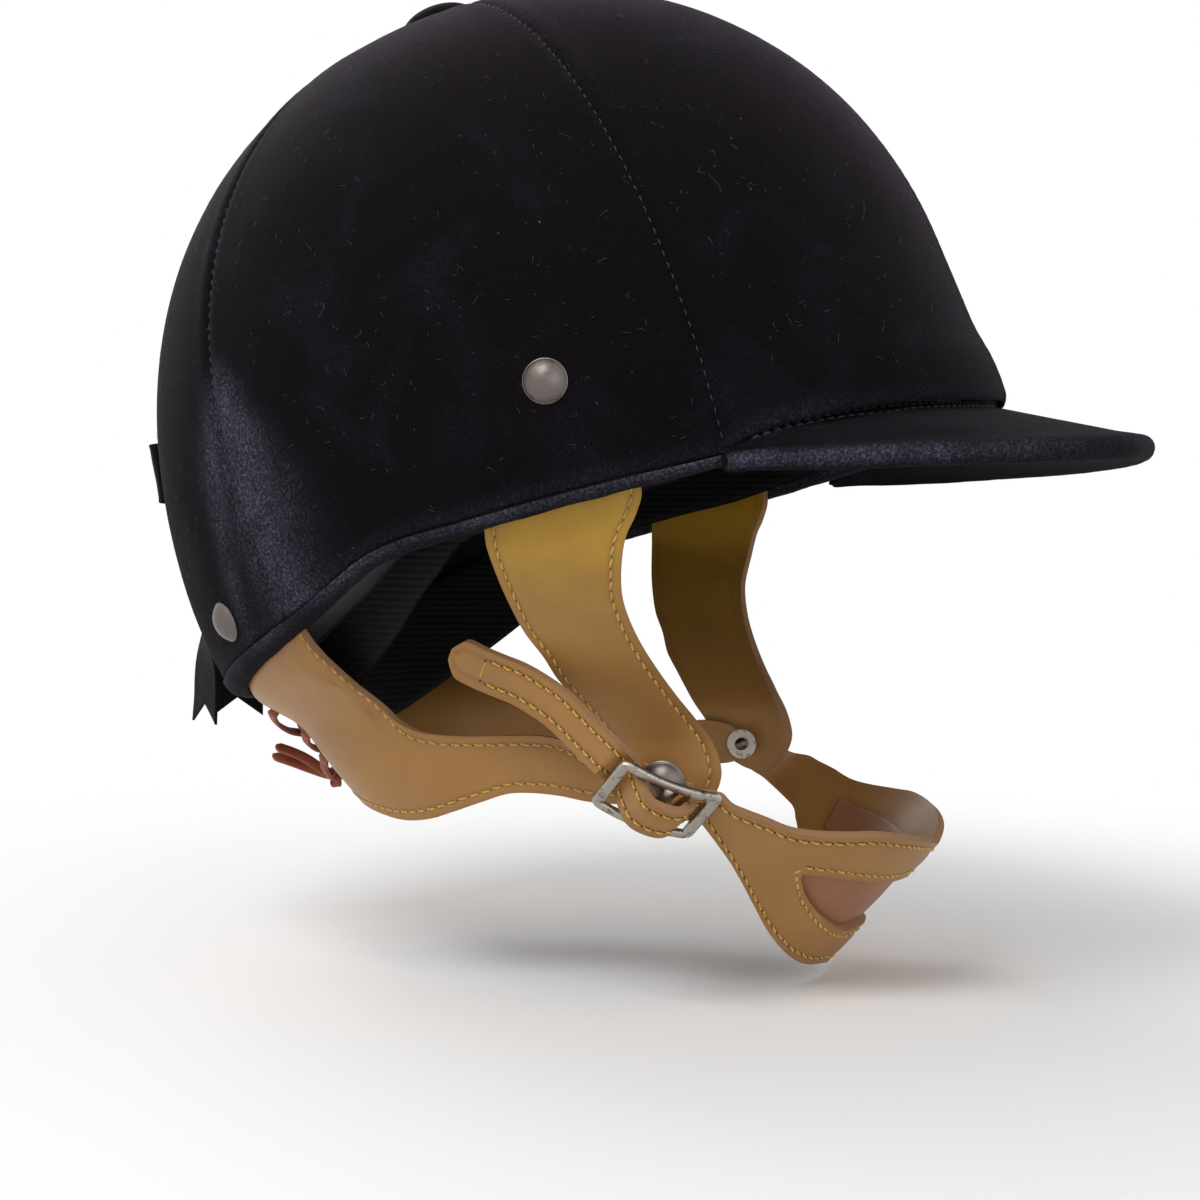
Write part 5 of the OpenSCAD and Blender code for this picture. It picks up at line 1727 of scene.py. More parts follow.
@dataclass(frozen=True)
class Buckle:
    """Slide buckle: a bowed frame with a round middle bar, held to the jaw rivet by a leather loop."""

    harness: Harness
    finish: Palette
    length: float = 32.0
    width: float = 22.0
    bar_w: float = 3.4
    bar_t: float = 2.0
    bow: float = 2.6
    out: float = 13.6
    bar_r: float = 1.5
    loop_t: float = 1.4
    loop_w: float = 7.0
    corner: float = 1.5

    @property
    def fore(self) -> Array:
        """Direction along the buckle towards the chin."""
        return unit(place(0.8, -0.48, -0.35))

    @property
    def up(self) -> Array:
        """Direction across the buckle."""
        lift = place(0.629, 0.481, 0.611)
        return unit(lift - (lift @ self.fore) * self.fore)

    @property
    def face(self) -> Array:
        """Direction off the buckle's outer face."""
        n = np.cross(self.fore, self.up)
        return n if n[0] < 0 else -n

    def on(self, fore: Array | float, out: Array | float, up: Array | float = 0.0) -> Array:
        """Point given along, off and across the buckle.

        Args:
            fore: Distance towards the chin.
            out: Distance off the face.
            up: Distance along the middle bar.

        Returns:
            Points in millimetres.
        """
        middle = self.harness.jaw + place(1.2, self.out, -2.6)
        fore, out, up = np.broadcast_arrays(fore, out, up)
        return middle + fore[..., None] * self.fore + out[..., None] * self.face + up[..., None] * self.up

    @property
    def reach(self) -> float:
        """Distance from the middle to the end bars."""
        return (self.length - self.bar_w) / 2

    def frame(self) -> Solid:
        """The bowed frame, rounder than its casting blank and thinner along its sides.

        Returns:
            The solid.
        """
        hl, hw = self.reach, (self.width - self.bar_w * 0.8) / 2
        line = []
        for sx, sy in ((1, 1), (-1, 1), (-1, -1), (1, -1)):
            arc = np.radians(np.linspace(0, 90, 9) if sx * sy > 0 else np.linspace(90, 0, 9))
            cx, cy = hl - self.corner, hw - self.corner
            line += [(sx * (cx + self.corner * math.cos(a)), sy * (cy + self.corner * math.sin(a))) for a in arc]
            if (sx, sy) in ((1, 1), (-1, -1)):
                line += [(sx * f, sy * hw) for f in np.linspace(9.5, -9.5, 13)]
            else:
                line += [(sx * hl, sy * f) for f in np.linspace(5, -5, 7)]
        line = np.array(line)
        d = np.roll(line, -1, 0) - np.roll(line, 1, 0)
        side = np.stack([d[:, 1], -d[:, 0]], 1) / np.linalg.norm(d, axis=1)[:, None]
        w = self.bar_w * (0.4 + 0.1 * smooth((np.abs(side[:, 0]) - 0.55) / 0.4))
        rise = self.bow * (1 - (line[:, 0] / (self.length / 2)) ** 2)
        a = around(20)
        cu, cv = np.sign(np.cos(a)) * np.abs(np.cos(a)) ** 0.42, np.sign(np.sin(a)) * np.abs(np.sin(a)) ** 0.5
        x = line[:, 0, None] + side[:, 0, None] * cu * w[:, None]
        y = line[:, 1, None] + side[:, 1, None] * cu * w[:, None]
        return loft(self.on(x, rise[:, None] + cv * self.bar_t / 2, y), True)

    def loop(self) -> Solid:
        """The leather loop from the rivet round the middle bar.

        Returns:
            The solid.
        """
        gap, t = 0.25, self.loop_t
        run = self.harness.rivet_d / 2 + 0.75 + t

        def base(f: float) -> Array:
            """Point of the loop's base along the jaw joint."""
            return self.harness.jaw + place(f * 0.93, gap + t / 2, -f * 0.37)

        wrap = self.bar_r + 0.5 + t / 2
        points = [base(-run), base(-4), base(0), base(4), base(run)]
        points.append((base(run + 1) + self.on(5.2, self.bow - 3.4)) / 2)
        for a in np.radians(np.arange(36, 175, 23)):
            points.append(self.on(wrap * math.cos(a), self.bow + wrap * math.sin(a)))
        points.append((base(-run - 1) + self.on(-5.2, self.bow - 3.4)) / 2)
        low = place(0.37, 0, 0.93)
        across = [low] * 5 + [self.up + low] + [self.up] * 7 + [self.up + low]
        dense = even(np.array(points + points[:1]), len(points) * 6)[:-1]
        lifts = even(np.array(across + across[:1]), len(points) * 6)[:-1]
        return sweep(dense, lifts, self.loop_w / 2, t / 2, 20, 6.0, True)

    def build(self) -> None:
        """Makes the frame and the loop and dresses the bar."""
        finish = self.finish
        piece("slide_buckle", self.frame(), [finish.nickel], "buckle", ["buckle_frame"])
        hw = (self.width - self.bar_w * 0.8) / 2 - self.bar_w * 0.3
        bar = [(self.bar_r * 0.9, 0.0), (self.bar_r, 0.2), (self.bar_r, 2 * hw - 0.2), (self.bar_r * 0.9, 2 * hw)]
        piece("buckle_middle_bar", lathe(bar, self.on(0.0, self.bow, -hw), self.up, 48), [finish.nickel], "buckle",
              ["buckle_bar"])
        piece("buckle_leather_loop", self.loop(), [finish.leather], "chin", ["buckle_loop"])


@dataclass(frozen=True)
class ChinStrap:
    """Chin strap: a band that widens into a window under the chin, with a free tail and a leather cup."""

    harness: Harness
    buckle: Buckle
    finish: Palette
    cut: Leather = Leather()
    strap_w: float = 12.7
    fwd: float = 102.6
    drop: float = 153.6
    chin_w: float = 51.4
    cup_t: float = 2.0
    span: float = 69.0
    window_end: float = 48.0
    left_steps: int = 6
    chin_steps: int = 23
    weave_steps: int = 22
    dense: int = 4
    plain_start: int = 10
    plain_tip: int = 14
    cup_span: float = 53.0
    cup_steps: int = 107
    cup_columns: int = 25

    def plan(self, turn: Array) -> Array:
        """Reach ahead and to the right of the strap's middle line.

        Args:
            turn: Turns round the chin, in degrees.

        Returns:
            Both reaches for each turn, in millimetres.
        """
        start, side = self.harness.jaw_fwd - 5, self.harness.jaw_half + 2.5
        c, s = np.cos(np.radians(turn)), np.sin(np.radians(turn))
        return np.stack([start + (self.fwd - start) * c**0.9, np.sign(turn) * side * np.abs(s) ** 0.9], -1)

    def outward(self, turn: Array) -> Array:
        """Direction off the strap in plan.

        Args:
            turn: Turns round the chin, in degrees.

        Returns:
            Unit directions, ahead and to the right.
        """
        d = self.plan(turn + 1) - self.plan(turn - 1)
        n = unit(np.stack([d[..., 1], -d[..., 0]], -1))
        return np.where(n[..., :1] > 0, n, -n)

    def point(self, turn: Array, up: Array, inset: Array | float) -> Array:
        """Point of the strap at a turn round the chin and a distance up its face.

        Args:
            turn: Turns round the chin, in degrees.
            up: Distances up the face.
            inset: Distance behind the outer face.

        Returns:
            Points in millimetres.
        """
        c, n = self.plan(turn), self.outward(turn)
        lean = np.radians(curve([(0, 41), (40, 40), (70, 35), (90, 27)], np.abs(turn)))
        rise = curve([(0, 0), (30, 0.109), (60, 0.463), (90, 0.853), (110, 1.03)], np.abs(turn))
        mid = -self.drop + (self.drop - self.harness.jaw_drop) * rise
        face = place(n[..., 0] * np.cos(lean), n[..., 1] * np.cos(lean), -np.sin(lean))
        ahead, right = c[..., 0] + n[..., 0] * up * np.sin(lean), c[..., 1] + n[..., 1] * up * np.sin(lean)
        on = place(ahead, right, mid + up * np.cos(lean))
        return on - face * np.reshape(inset, np.shape(inset) + (1,))

    def lanes(self, turn: Array) -> Array:
        """Distances up the face of the strap's top edge, the window's edges and the low edge.

        Args:
            turn: Turns round the chin, in degrees.

        Returns:
            Four distances for each turn, in millimetres.
        """
        a = np.abs(turn)
        high = [(0, 0.505), (23, 0.574), (34, 0.551), (41, 0.475), (49, 0.377), (55, 0.321), (61, 0.309), (67, 0.29),
                (73, 0.28)]
        low = [(0, -0.494), (13, -0.475), (29, -0.481), (41, -0.467), (51, -0.412), (59, -0.3), (64.5, -0.187),
               (69, -0.09), (73, -0.01)]
        w_high = [(0, 0.233), (29, 0.214), (40, 0.158), (48, 0.085)]
        w_low = [(0, -0.16), (6, -0.169), (15, -0.191), (26, -0.158), (34, -0.125), (41, -0.076), (46, -0.01),
                 (48, 0.045)]
        top, base, past = curve(high, a), curve(low, a), smooth((a - self.window_end) / 16)
        inside = a <= self.window_end
        upper = np.where(inside, curve(w_high, a), w_high[-1][1] * (1 - past) + (top * 2 + base) / 3 * past)
        lower = np.where(inside, curve(w_low, a), w_low[-1][1] * (1 - past) + (top + base * 2) / 3 * past)
        return np.stack([top, upper, lower, base], -1) * self.chin_w

    def strip(self, mids: Array, lifts: Array, halves: Array, inset: float) -> Array:
        """Rows of four points across a narrow strip.

        Args:
            mids: Points of the strip's middle.
            lifts: Direction across it at each point.
            halves: Share of the full width.
            inset: Distance behind the outer face.

        Returns:
            A row of four points for each of them.
        """
        ahead = along(mids)
        side = square_to(ahead, lifts)
        n = np.cross(ahead, side)
        out = np.where(n[:, :1] < 0, n, -n)
        across = np.array([1, 1 / 3, -1 / 3, -1]) * self.strap_w / 2
        return (
            mids[:, None]
            + side[:, None] * (halves[:, None] * across)[..., None]
            + out[:, None] * (self.cut.thick / 2 - inset)
        )

    def right_rows(self, inset: float) -> Array:
        """Rows through the buckle and along the free tail.

        Args:
            inset: Distance behind the outer face.

        Returns:
            Rows of four points.
        """
        b, t = self.buckle, self.cut.thick
        under = -(b.bar_t / 2 + 1 + t / 2)
        over = b.bow + b.bar_r + b.loop_t + t / 2 + 0.9
        reach = b.reach
        steps = [(reach + 3.5, under, 0), (reach, under, 0), (reach - 3.4, under + 1.7, 0), (7.4, over - 4, 0),
                 (4.6, over - 0.9, 0), (0, over, 0), (-4.6, over - 0.9, 0), (-7.4, over - 4, 0.6),
                 (3.4 - reach, under + 1.7, 1.8), (-reach, under, 3.4), (-reach - 4, under, 5.4)]
        weave = even(np.array([b.on(f, o, u) for f, o, u in steps]), self.weave_steps)
        tail = np.array([place(*p) for p in ((31, 80.8, -98.1), (26, 79.4, -94), (20, 77.9, -89.3), (14, 77, -85.7),
                                             (8, 76.4, -82.7), (2, 76.2, -80.6), (-4, 76.1, -78.4), (-9, 75.8, -76.2),
                                             (-11, 75.7, -75.3), (-12.6, 75.6, -74.5))])
        mids = np.concatenate([weave, tail])
        lifts = np.array([b.up if i < self.weave_steps else place(0.42, 0.3, 0.86) for i in range(len(mids))])
        halves = np.array([1.0] * (self.weave_steps + 1) + [1, 1, 1, 1, 1, 1, 1, 0.98, 0.7, 0.3])
        return self.strip(mids, lifts, halves, inset)

    def left_rows(self, inset: float) -> Array:
        """Rows of the fixed end at the left jaw rivet.

        Args:
            inset: Distance behind the outer face.

        Returns:
            Rows of four points.
        """
        face = self.harness.jaw_half + 0.25 + self.cut.thick / 2
        fwd, drop = self.harness.jaw_fwd, self.harness.jaw_drop
        steps = [(11.4, 1.6, -8.4), (5.8, 0, -4.3), (0, 0, 0), (-3.4, 0, 2.5), (-6, 0, 4.4), (-7.4, 0, 5.4)]
        mids = np.array([place(fwd + a, face + r, -drop + u) for a, r, u in steps])
        lifts = [(0.5, 0.3, 0.78), (0.58, 0.01, 0.81)] + [(0.59, 0, 0.81)] * 4
        halves = np.array([1, 1, 1, 0.97, 0.75, 0.4])
        return mirrored(self.strip(mids, np.array([place(*v) for v in lifts]), halves, inset))

    def rows(self, inset: float) -> Array:
        """All rows of four points, from the left rivet round the chin to the tail's tip.

        Args:
            inset: Distance behind the outer face.

        Returns:
            Rows of four points.
        """
        turns = np.arange(-self.chin_steps, self.chin_steps + 1) * self.span / self.chin_steps
        chin = self.point(turns[:, None], self.lanes(turns), inset)
        table = np.concatenate([self.left_rows(inset)[::-1], chin, self.right_rows(inset)])
        return even(table, (len(table) - 1) * self.dense)

    def build(self) -> None:
        """Makes the strap, its stitches and the cup."""
        outer4, inner4 = self.rows(0.0), self.rows(self.cut.thick)
        first = (self.left_steps + round((1 - self.window_end / self.span) * self.chin_steps)) * self.dense
        last = first + round(self.window_end / self.span * 2 * self.chin_steps) * self.dense
        columns_out, columns_in, rubs, lane = [], [], [], []
        edge = np.array([0, 0.3, 0.8, 1.5, 2.1, 2.7, 3.3, 3.9])
        rel = 1 - (1 - np.linspace(0, 1, 11)[1:]) ** 1.5
        is_window = np.zeros(len(outer4))
        is_window[first:last + 1] = 1
        for band, (a, b) in enumerate(((0, 1), (1, 2), (2, 3))):
            width = np.linalg.norm(outer4[:, a] - outer4[:, b], axis=-1)
            if band == 1:
                shares = np.repeat(np.linspace(0, 1, 4)[None, 1:-1], len(width), 0)
                dip = np.zeros(shares.shape) - self.cut.crowned
                rub = np.zeros(shares.shape)
            else:
                scale = np.minimum(1, width / 4.3)[:, None]
                near = edge[None] * scale
                off = np.concatenate([near, near[:, -1:] + (width[:, None] - near[:, -1:]) * rel[None]], 1)
                inner_off = width[:, None] - off
                window = is_window[:, None]
                dip = self.cut.groove * hump(off - self.cut.inset, self.cut.groove_w)
                dip = dip + self.cut.groove * hump(inner_off - self.cut.inset, self.cut.groove_w) * window
                swell = np.where(window > 0, smooth((inner_off - 3.3) / 3), 1)
                dip = dip - self.cut.crowned * smooth((off - 3.5) / 3) * swell
                rub = 0.42 * hump(off, 0.9) + 0.42 * hump(inner_off, 0.9) * window
                rub = rub + 0.6 * hump(off - self.cut.inset, 0.85)
                shares = off / width[:, None]
                if band == 2:
                    shares, dip, rub = 1 - shares[:, ::-1], dip[:, ::-1], rub[:, ::-1]
            flat = outer4[:, a, None] + (outer4[:, b] - outer4[:, a])[:, None] * shares[..., None]
            behind = inner4[:, a, None] + (inner4[:, b] - inner4[:, a])[:, None] * shares[..., None]
            columns_out.append(flat + unit(behind - flat) * dip[..., None])
            columns_in.append(behind)
            rubs.append(rub)
            lane += [band] * shares.shape[1]
        outer, inner = np.concatenate(columns_out, 1), np.concatenate(columns_in, 1)
        rub = np.concatenate(rubs, 1)
        holes = np.zeros((len(outer) - 1, outer.shape[1] - 1), bool)
        start, stop = lane.index(1) - 1, len(lane) - 1 - lane[::-1].index(1)
        holes[first:last, start:stop + 1] = True
        solid = slab(outer, inner, holes)
        kept = used_points(solid)
        rub = np.concatenate([rub.ravel(), rub.ravel() * 0.5])[kept]
        piece("chin_strap_leather", kept_only(solid, kept), [self.finish.leather, self.finish.edge], "chin",
              ["chin_strap"], Edge.BURNISHED, {"rub": rub})
        self.stitches(outer4, inner4, first, last)
        self.cup()

    def stitches(self, outer4: Array, inner4: Array, first: int, last: int) -> None:
        """Rows of stitches along the strap's edges and round its window.

        Args:
            outer4: Rows of the outer face.
            inner4: Rows of the inner face.
            first: The window's first row.
            last: Its last row.
        """
        out = unit(outer4 - inner4)
        step = self.cut.inset

        def line(a: int, b: int, rows: slice) -> tuple[Array, Array]:
            """Stitch line at the inset from edge a towards edge b."""
            gap = outer4[rows, b] - outer4[rows, a]
            return outer4[rows, a] + unit(gap) * step - out[rows, a] * 0.2, out[rows, a]

        sewn_rows = slice(self.plain_start, -self.plain_tip)
        runs = [line(0, 3, sewn_rows), line(3, 0, sewn_rows)]
        upper, up_out = line(1, 0, slice(first, last + 1))
        lower, low_out = line(2, 3, slice(first, last + 1))
        ends = []
        for row, way in ((first, -1), (last, 1)):
            near = (outer4[row, 1] + outer4[row, 2]) / 2
            ahead = unit(near - (outer4[row - way, 1] + outer4[row - way, 2]) / 2)
            ends.append((near + ahead * step * 1.1, out[row, 1]))
        loop = np.concatenate([upper, ends[1][0][None], lower[::-1], ends[0][0][None], upper[:1]])
        loop_out = np.concatenate([up_out, ends[1][1][None], low_out[::-1], ends[0][1][None], up_out[:1]])
        runs.append((loop, loop_out))
        tip = len(outer4) - self.plain_tip
        across = np.linspace(0.24, 0.76, 6)[:, None]
        bar = outer4[tip, 0] * (1 - across) + outer4[tip, 3] * across
        runs.append((bar, np.repeat(out[tip, :1], 6, 0)))
        sewn = joined([Thread().row(path, off) for path, off in runs])
        piece("chin_strap_stitches", sewn, [self.finish.thread, self.finish.hole], "chin")

    def cup(self) -> None:
        """The smooth leather dish behind the window."""
        turns = np.linspace(-self.cup_span, self.cup_span, self.cup_steps)
        lanes = self.lanes(np.minimum(np.abs(turns), self.window_end))
        high, low = lanes[:, 1] + 5, lanes[:, 2] - 5
        share = np.linspace(0, 1, self.cup_columns)
        up = high[:, None] + (low - high)[:, None] * share[None]
        belly = np.sin(math.pi * share)[None] * np.cos(np.radians(turns) * 90 / self.cup_span * 0.98)[:, None]
        base = self.cut.thick + 0.25
        turn = np.repeat(turns[:, None], self.cup_columns, 1)
        outer = self.point(turn, up, base - 0.9 * belly)
        inner = self.point(turn, up, base + self.cup_t - 0.6 * belly)
        solid = slab(outer, inner)
        rub = np.zeros(len(solid.points))
        piece("chin_cup_leather", solid, [self.finish.cup, self.finish.edge], "chin", ["chin_cup"],
              Edge.BURNISHED, {"rub": rub})


# Lace and bow


@dataclass(frozen=True)
class Lace:
    """Nape lace: a flat thong from a bar behind the top holes, crossed behind the neck and knotted."""

    harness: Harness
    finish: Palette
    width: float = 3.4
    thick: float = 1.5
    bulge: float = 3.6
    over: float = 3.0
    end_steps: int = 40

    def spot(self, turn: float, off: float, z: float) -> Array:
        """Point given by the turn from the middle of the back, the distance off the straps and the height.

        Args:
            turn: Turn from the middle of the back, in degrees.
            off: Distance off the straps.
            z: Height.

        Returns:
            The point, in millimetres.
        """
        seen, high = np.array(180 - abs(turn)), np.array(float(z))
        q = self.harness.point(seen, high) + self.harness.out(seen, high) * off
        return q if turn > 0 else mirrored(q)

    def crossing(self, row: int, side: int, lift: float) -> list[Array]:
        """From a hole on one side to the next hole down on the other, over or under its twin.

        Args:
            row: Row of the hole that it leaves.
            side: 1 for the right, -1 for the left.
            lift: Height of its hump over the other half.

        Returns:
            Points of the lace.
        """
        steps = [(1, 0.25, 0, 0), (0.86, 0.42, 0.1, 0.02), (0.53, 0.72, 0.6, 0.2), (0.2, 0.95, 0.95, 0.38),
                 (0, 1, 1, 0.5), (-0.2, 0.96, 1, 0.62), (-0.4, 0.76, 0.9, 0.74), (-0.53, 0.3, 0.4, 0.8),
                 (-0.57, -1.2, 0, 0.86), (-0.68, -4.1, 0, 0.94), (-0.86, -4.6, 0, 1), (-0.97, -3.9, 0, 1),
                 (-1, -2, 0, 1)]
        reach = 180 - self.harness.lace_turn
        return [
            self.spot(side * a * reach, (self.bulge if b > 0 else 1) * b + c * lift, self.harness.lace_z(row + d))
            for a, b, c, d in steps
        ]

    def half(self, side: int, first_over: int) -> list[Array]:
        """One half of the lace, from the bar to the knot.

        Args:
            side: 1 for the right, -1 for the left.
            first_over: 0 if it passes over at its first crossing, 1 if at its second.

        Returns:
            Points of the lace.
        """
        reach, last = 180 - self.harness.lace_turn, self.harness.lace_holes - 1
        start = [self.spot(share * side * reach, off, self.harness.lace_z(0))
                 for share, off in ((0.35, -5), (0.8, -4.8), (0.97, -3.9), (1, -2))]
        for row in range(last):
            start += self.crossing(row, side if row % 2 == 0 else -side, self.over if row % 2 == first_over else 0)
        s = side if last % 2 == 0 else -side
        return start + [self.spot(s * a * reach, b, self.harness.lace_z(last + c))
                        for a, b, c in ((1, 0.9, 0), (0.84, 2.4, 0.12), (0.58, 5.4, 0.32), (0.2, 8.4, 0.5))]

    @property
    def knot_at(self) -> Array:
        """Middle of the knot."""
        return self.spot(0.001, 8.1, self.harness.lace_z(self.harness.lace_holes - 1 + 0.52))

    def build(self) -> None:
        """Makes the lace, its knot and its two ends."""
        finish = self.finish.lace
        path = np.array(self.half(1, 0)[::-1] + self.half(-1, 1))
        dense = even(path, (len(path) - 1) * 5)
        across = unit(np.array([0, 0.77, 0.64]))
        piece("nape_thong", sweep(dense, across, self.width / 2, self.thick / 2, 12, 3.4), [finish], "helmet",
              ["nape_lace"])
        t = around(120)
        loopy = np.stack([np.sin(t) + 1.7 * np.sin(2 * t), -0.75 * np.sin(3 * t), np.cos(t) - 1.7 * np.cos(2 * t)], -1)
        knot = self.knot_at + loopy * np.array([1.25, 1.35, 1.15])
        lift = np.stack([np.sin(3 * t) * 0.2, 1 + 0 * t, np.cos(3 * t) * 0.2], -1)
        wraps = sweep(knot, lift, 1.5, 0.75, 12, 3.0, True)
        piece("thong_knot", wraps, [finish], "helmet", ["lace_knot"])
        routes = {
            "upper": ((-2.2, 1.2, 0.9), (-5.6, 2.4, 3.0), (-9.5, 3.0, 5.6), (-14.5, 3.6, 8.0), (-19.5, 4.6, 9.8)),
            "lower": ((-2.2, -1.0, 0.0), (-5.8, -1.8, 0.5), (-11, -1.6, 2.1), (-16.5, -0.8, 4.2), (-22.5, 0.4, 6.2)),
        }
        for name, steps in routes.items():
            line = even(np.array([self.knot_at + place(*s) for s in steps]), self.end_steps)
            count = len(line)
            across, up = 0.5 * np.sin(np.linspace(0, 5, count)), 0.35 * np.cos(np.linspace(0, 4, count))
            line = line + np.stack([across, 0 * across, up], -1) * np.linspace(0, 1, count)[:, None]
            turned = np.linspace(0, 0.9, count)
            lift = np.stack([0.3 * np.cos(turned), np.sin(turned), np.cos(turned)], -1)
            half = self.width / 2 * np.array([1.0] * (count - 3) + [0.9, 0.6, 0.25])
            piece("thong_end_" + name, sweep(line, lift, half, self.thick / 2, 12, 3.4), [finish], "helmet",
                  ["lace_end_" + name])


@dataclass(frozen=True)
class Bow:
    """Ribbon bow on the back of the crown: two loops, two tails with notched ends and the band round them."""

    crown: Crown
    finish: Palette
    width: float = 18.0
    thick: float = 0.8
    z: float = -28.0
    out: float = 3.7
    columns: int = 17
    loop_steps: int = 80
    tail_steps: int = 90

    @property
    def middle(self) -> Array:
        """Middle of the bow."""
        y = self.crown.point(np.array(180.0), np.array(self.z))[1] + self.out
        return np.array([0, y, self.z])

    def band(self, line: Array, across: Array, half: Array, cup: float, notch: float = 0.0) -> Solid:
        """A strip of ribbon along a line, cupped across its width and notched at its end.

        Args:
            line: Its middle line.
            across: Direction across it.
            half: Half width at each point.
            cup: Height of its middle over its edges.
            notch: Depth of the notch.

        Returns:
            The solid.
        """
        ahead = along(line)
        side = square_to(ahead, across)
        out = np.cross(ahead, side)
        s = np.linspace(-1, 1, self.columns)
        flat = line[:, None] + side[:, None] * (half[:, None] * s)[..., None]
        flat = flat + out[:, None] * (cup * (1 - s**2))[None, :, None] * np.linspace(1, 0.4, len(line))[:, None, None]
        ripple = 0.35 * wobble(flat, 9.0, 2.0) * np.minimum(np.arange(len(line)), 12)[:, None] / 12
        flat = flat + out[:, None] * ripple[..., None]
        if notch:
            share = smooth((np.arange(len(line)) - len(line) * 0.78) / (len(line) * 0.22))
            flat = flat - ahead[:, None] * (share[:, None] * notch * (1 - np.abs(s)))[..., None]
        selvedge = 0.5 * self.thick * (0.75 + 0.35 * (np.abs(s) > 0.9))[None, :, None]
        return slab(flat + out[:, None] * selvedge, flat - out[:, None] * selvedge)

    def loop(self) -> Solid:
        """The left loop.

        Returns:
            The solid.
        """
        steps = [(1.5, -0.9, 0.2), (6, -1.6, 0.6), (13, -2.4, 2.8), (21, -3.8, 5), (26.6, -4.8, 6.4), (29, -3.8, 6.6),
                 (26.6, -1.6, 5.8), (19.5, 0.8, 4), (12, 1.9, 1.6), (6, 1.4, -0.2), (1.5, 0.9, 0.0)]
        line = even(self.middle + np.array(steps), self.loop_steps)
        halves = curve([(0, 0.2), (1, 0.34), (2, 0.62), (3, 0.88), (4, 0.98), (5, 1), (6, 0.98), (7, 0.88), (8, 0.62),
                        (9, 0.34), (10, 0.2)], np.linspace(0, 10, self.loop_steps + 1)) * self.width / 2
        across = np.repeat(np.array([[0.1, 0.13, 1.0]]), self.loop_steps + 1, 0)
        return self.band(line, across, halves, 0.0)

    def tail(self) -> Solid:
        """The left tail.

        Returns:
            The solid.
        """
        steps = [(1.2, 0.2, -2.2), (2.6, -0.9, -6), (6, -3.6, -16), (9.2, -8, -30), (10.6, -11.4, -42),
                 (11.6, -12.6, -54), (12.2, -12.9, -65), (12.6, -12.6, -76)]
        line = even(self.middle + np.array(steps), self.tail_steps)
        k = np.linspace(0, 15, self.tail_steps + 1)
        angle = np.radians(curve([(0, 4), (6, 6), (11, 44), (15, 50)], k))
        across = np.stack([np.cos(angle), -np.sin(angle), 0 * angle], -1)
        halves = curve([(0, 0.24), (3, 0.62), (7, 0.92), (15, 1)], k) * self.width / 2
        return self.band(line, across, halves, 0.0, 6.5)

    def knot(self) -> Solid:
        """The band that draws the loops in, with folds along it.

        Returns:
            The solid.
        """
        a = around(72)
        s = np.linspace(-1, 1, 21)
        mid = self.middle
        depth = 1 + 0.18 * (s**2)[None] + 0.05 * np.cos(s * 9)[None] + 0.03 * np.cos(a * 5)[:, None]
        x = s[None] * 5.2 * (1 + 0 * a)[:, None]
        y = np.cos(a)[:, None] * 3.1 * depth
        z = np.sin(a)[:, None] * 6.1 * depth
        outer = mid + np.stack([x, y, z], -1)
        inner = mid + np.stack([x, y * 0.78, z * 0.85], -1)
        return slab(outer, inner, wrap=True)

    def build(self) -> None:
        """Makes the bow's five pieces."""
        ribbon = self.finish.ribbon
        for name, solid, flat in (("loop", self.loop(), (0.018, 0.06)), ("tail", self.tail(), (0.018, 0.08))):
            for hand in ("left", "right"):
                shape = solid if hand == "left" else solid.mirror()
                made = piece(f"ribbon_{name}_{hand}", shape, [ribbon], "helmet", [f"bow_{name}_{hand}"])
        piece("ribbon_knot", self.knot(), [ribbon], "helmet", ["bow_knot"])


# Inside


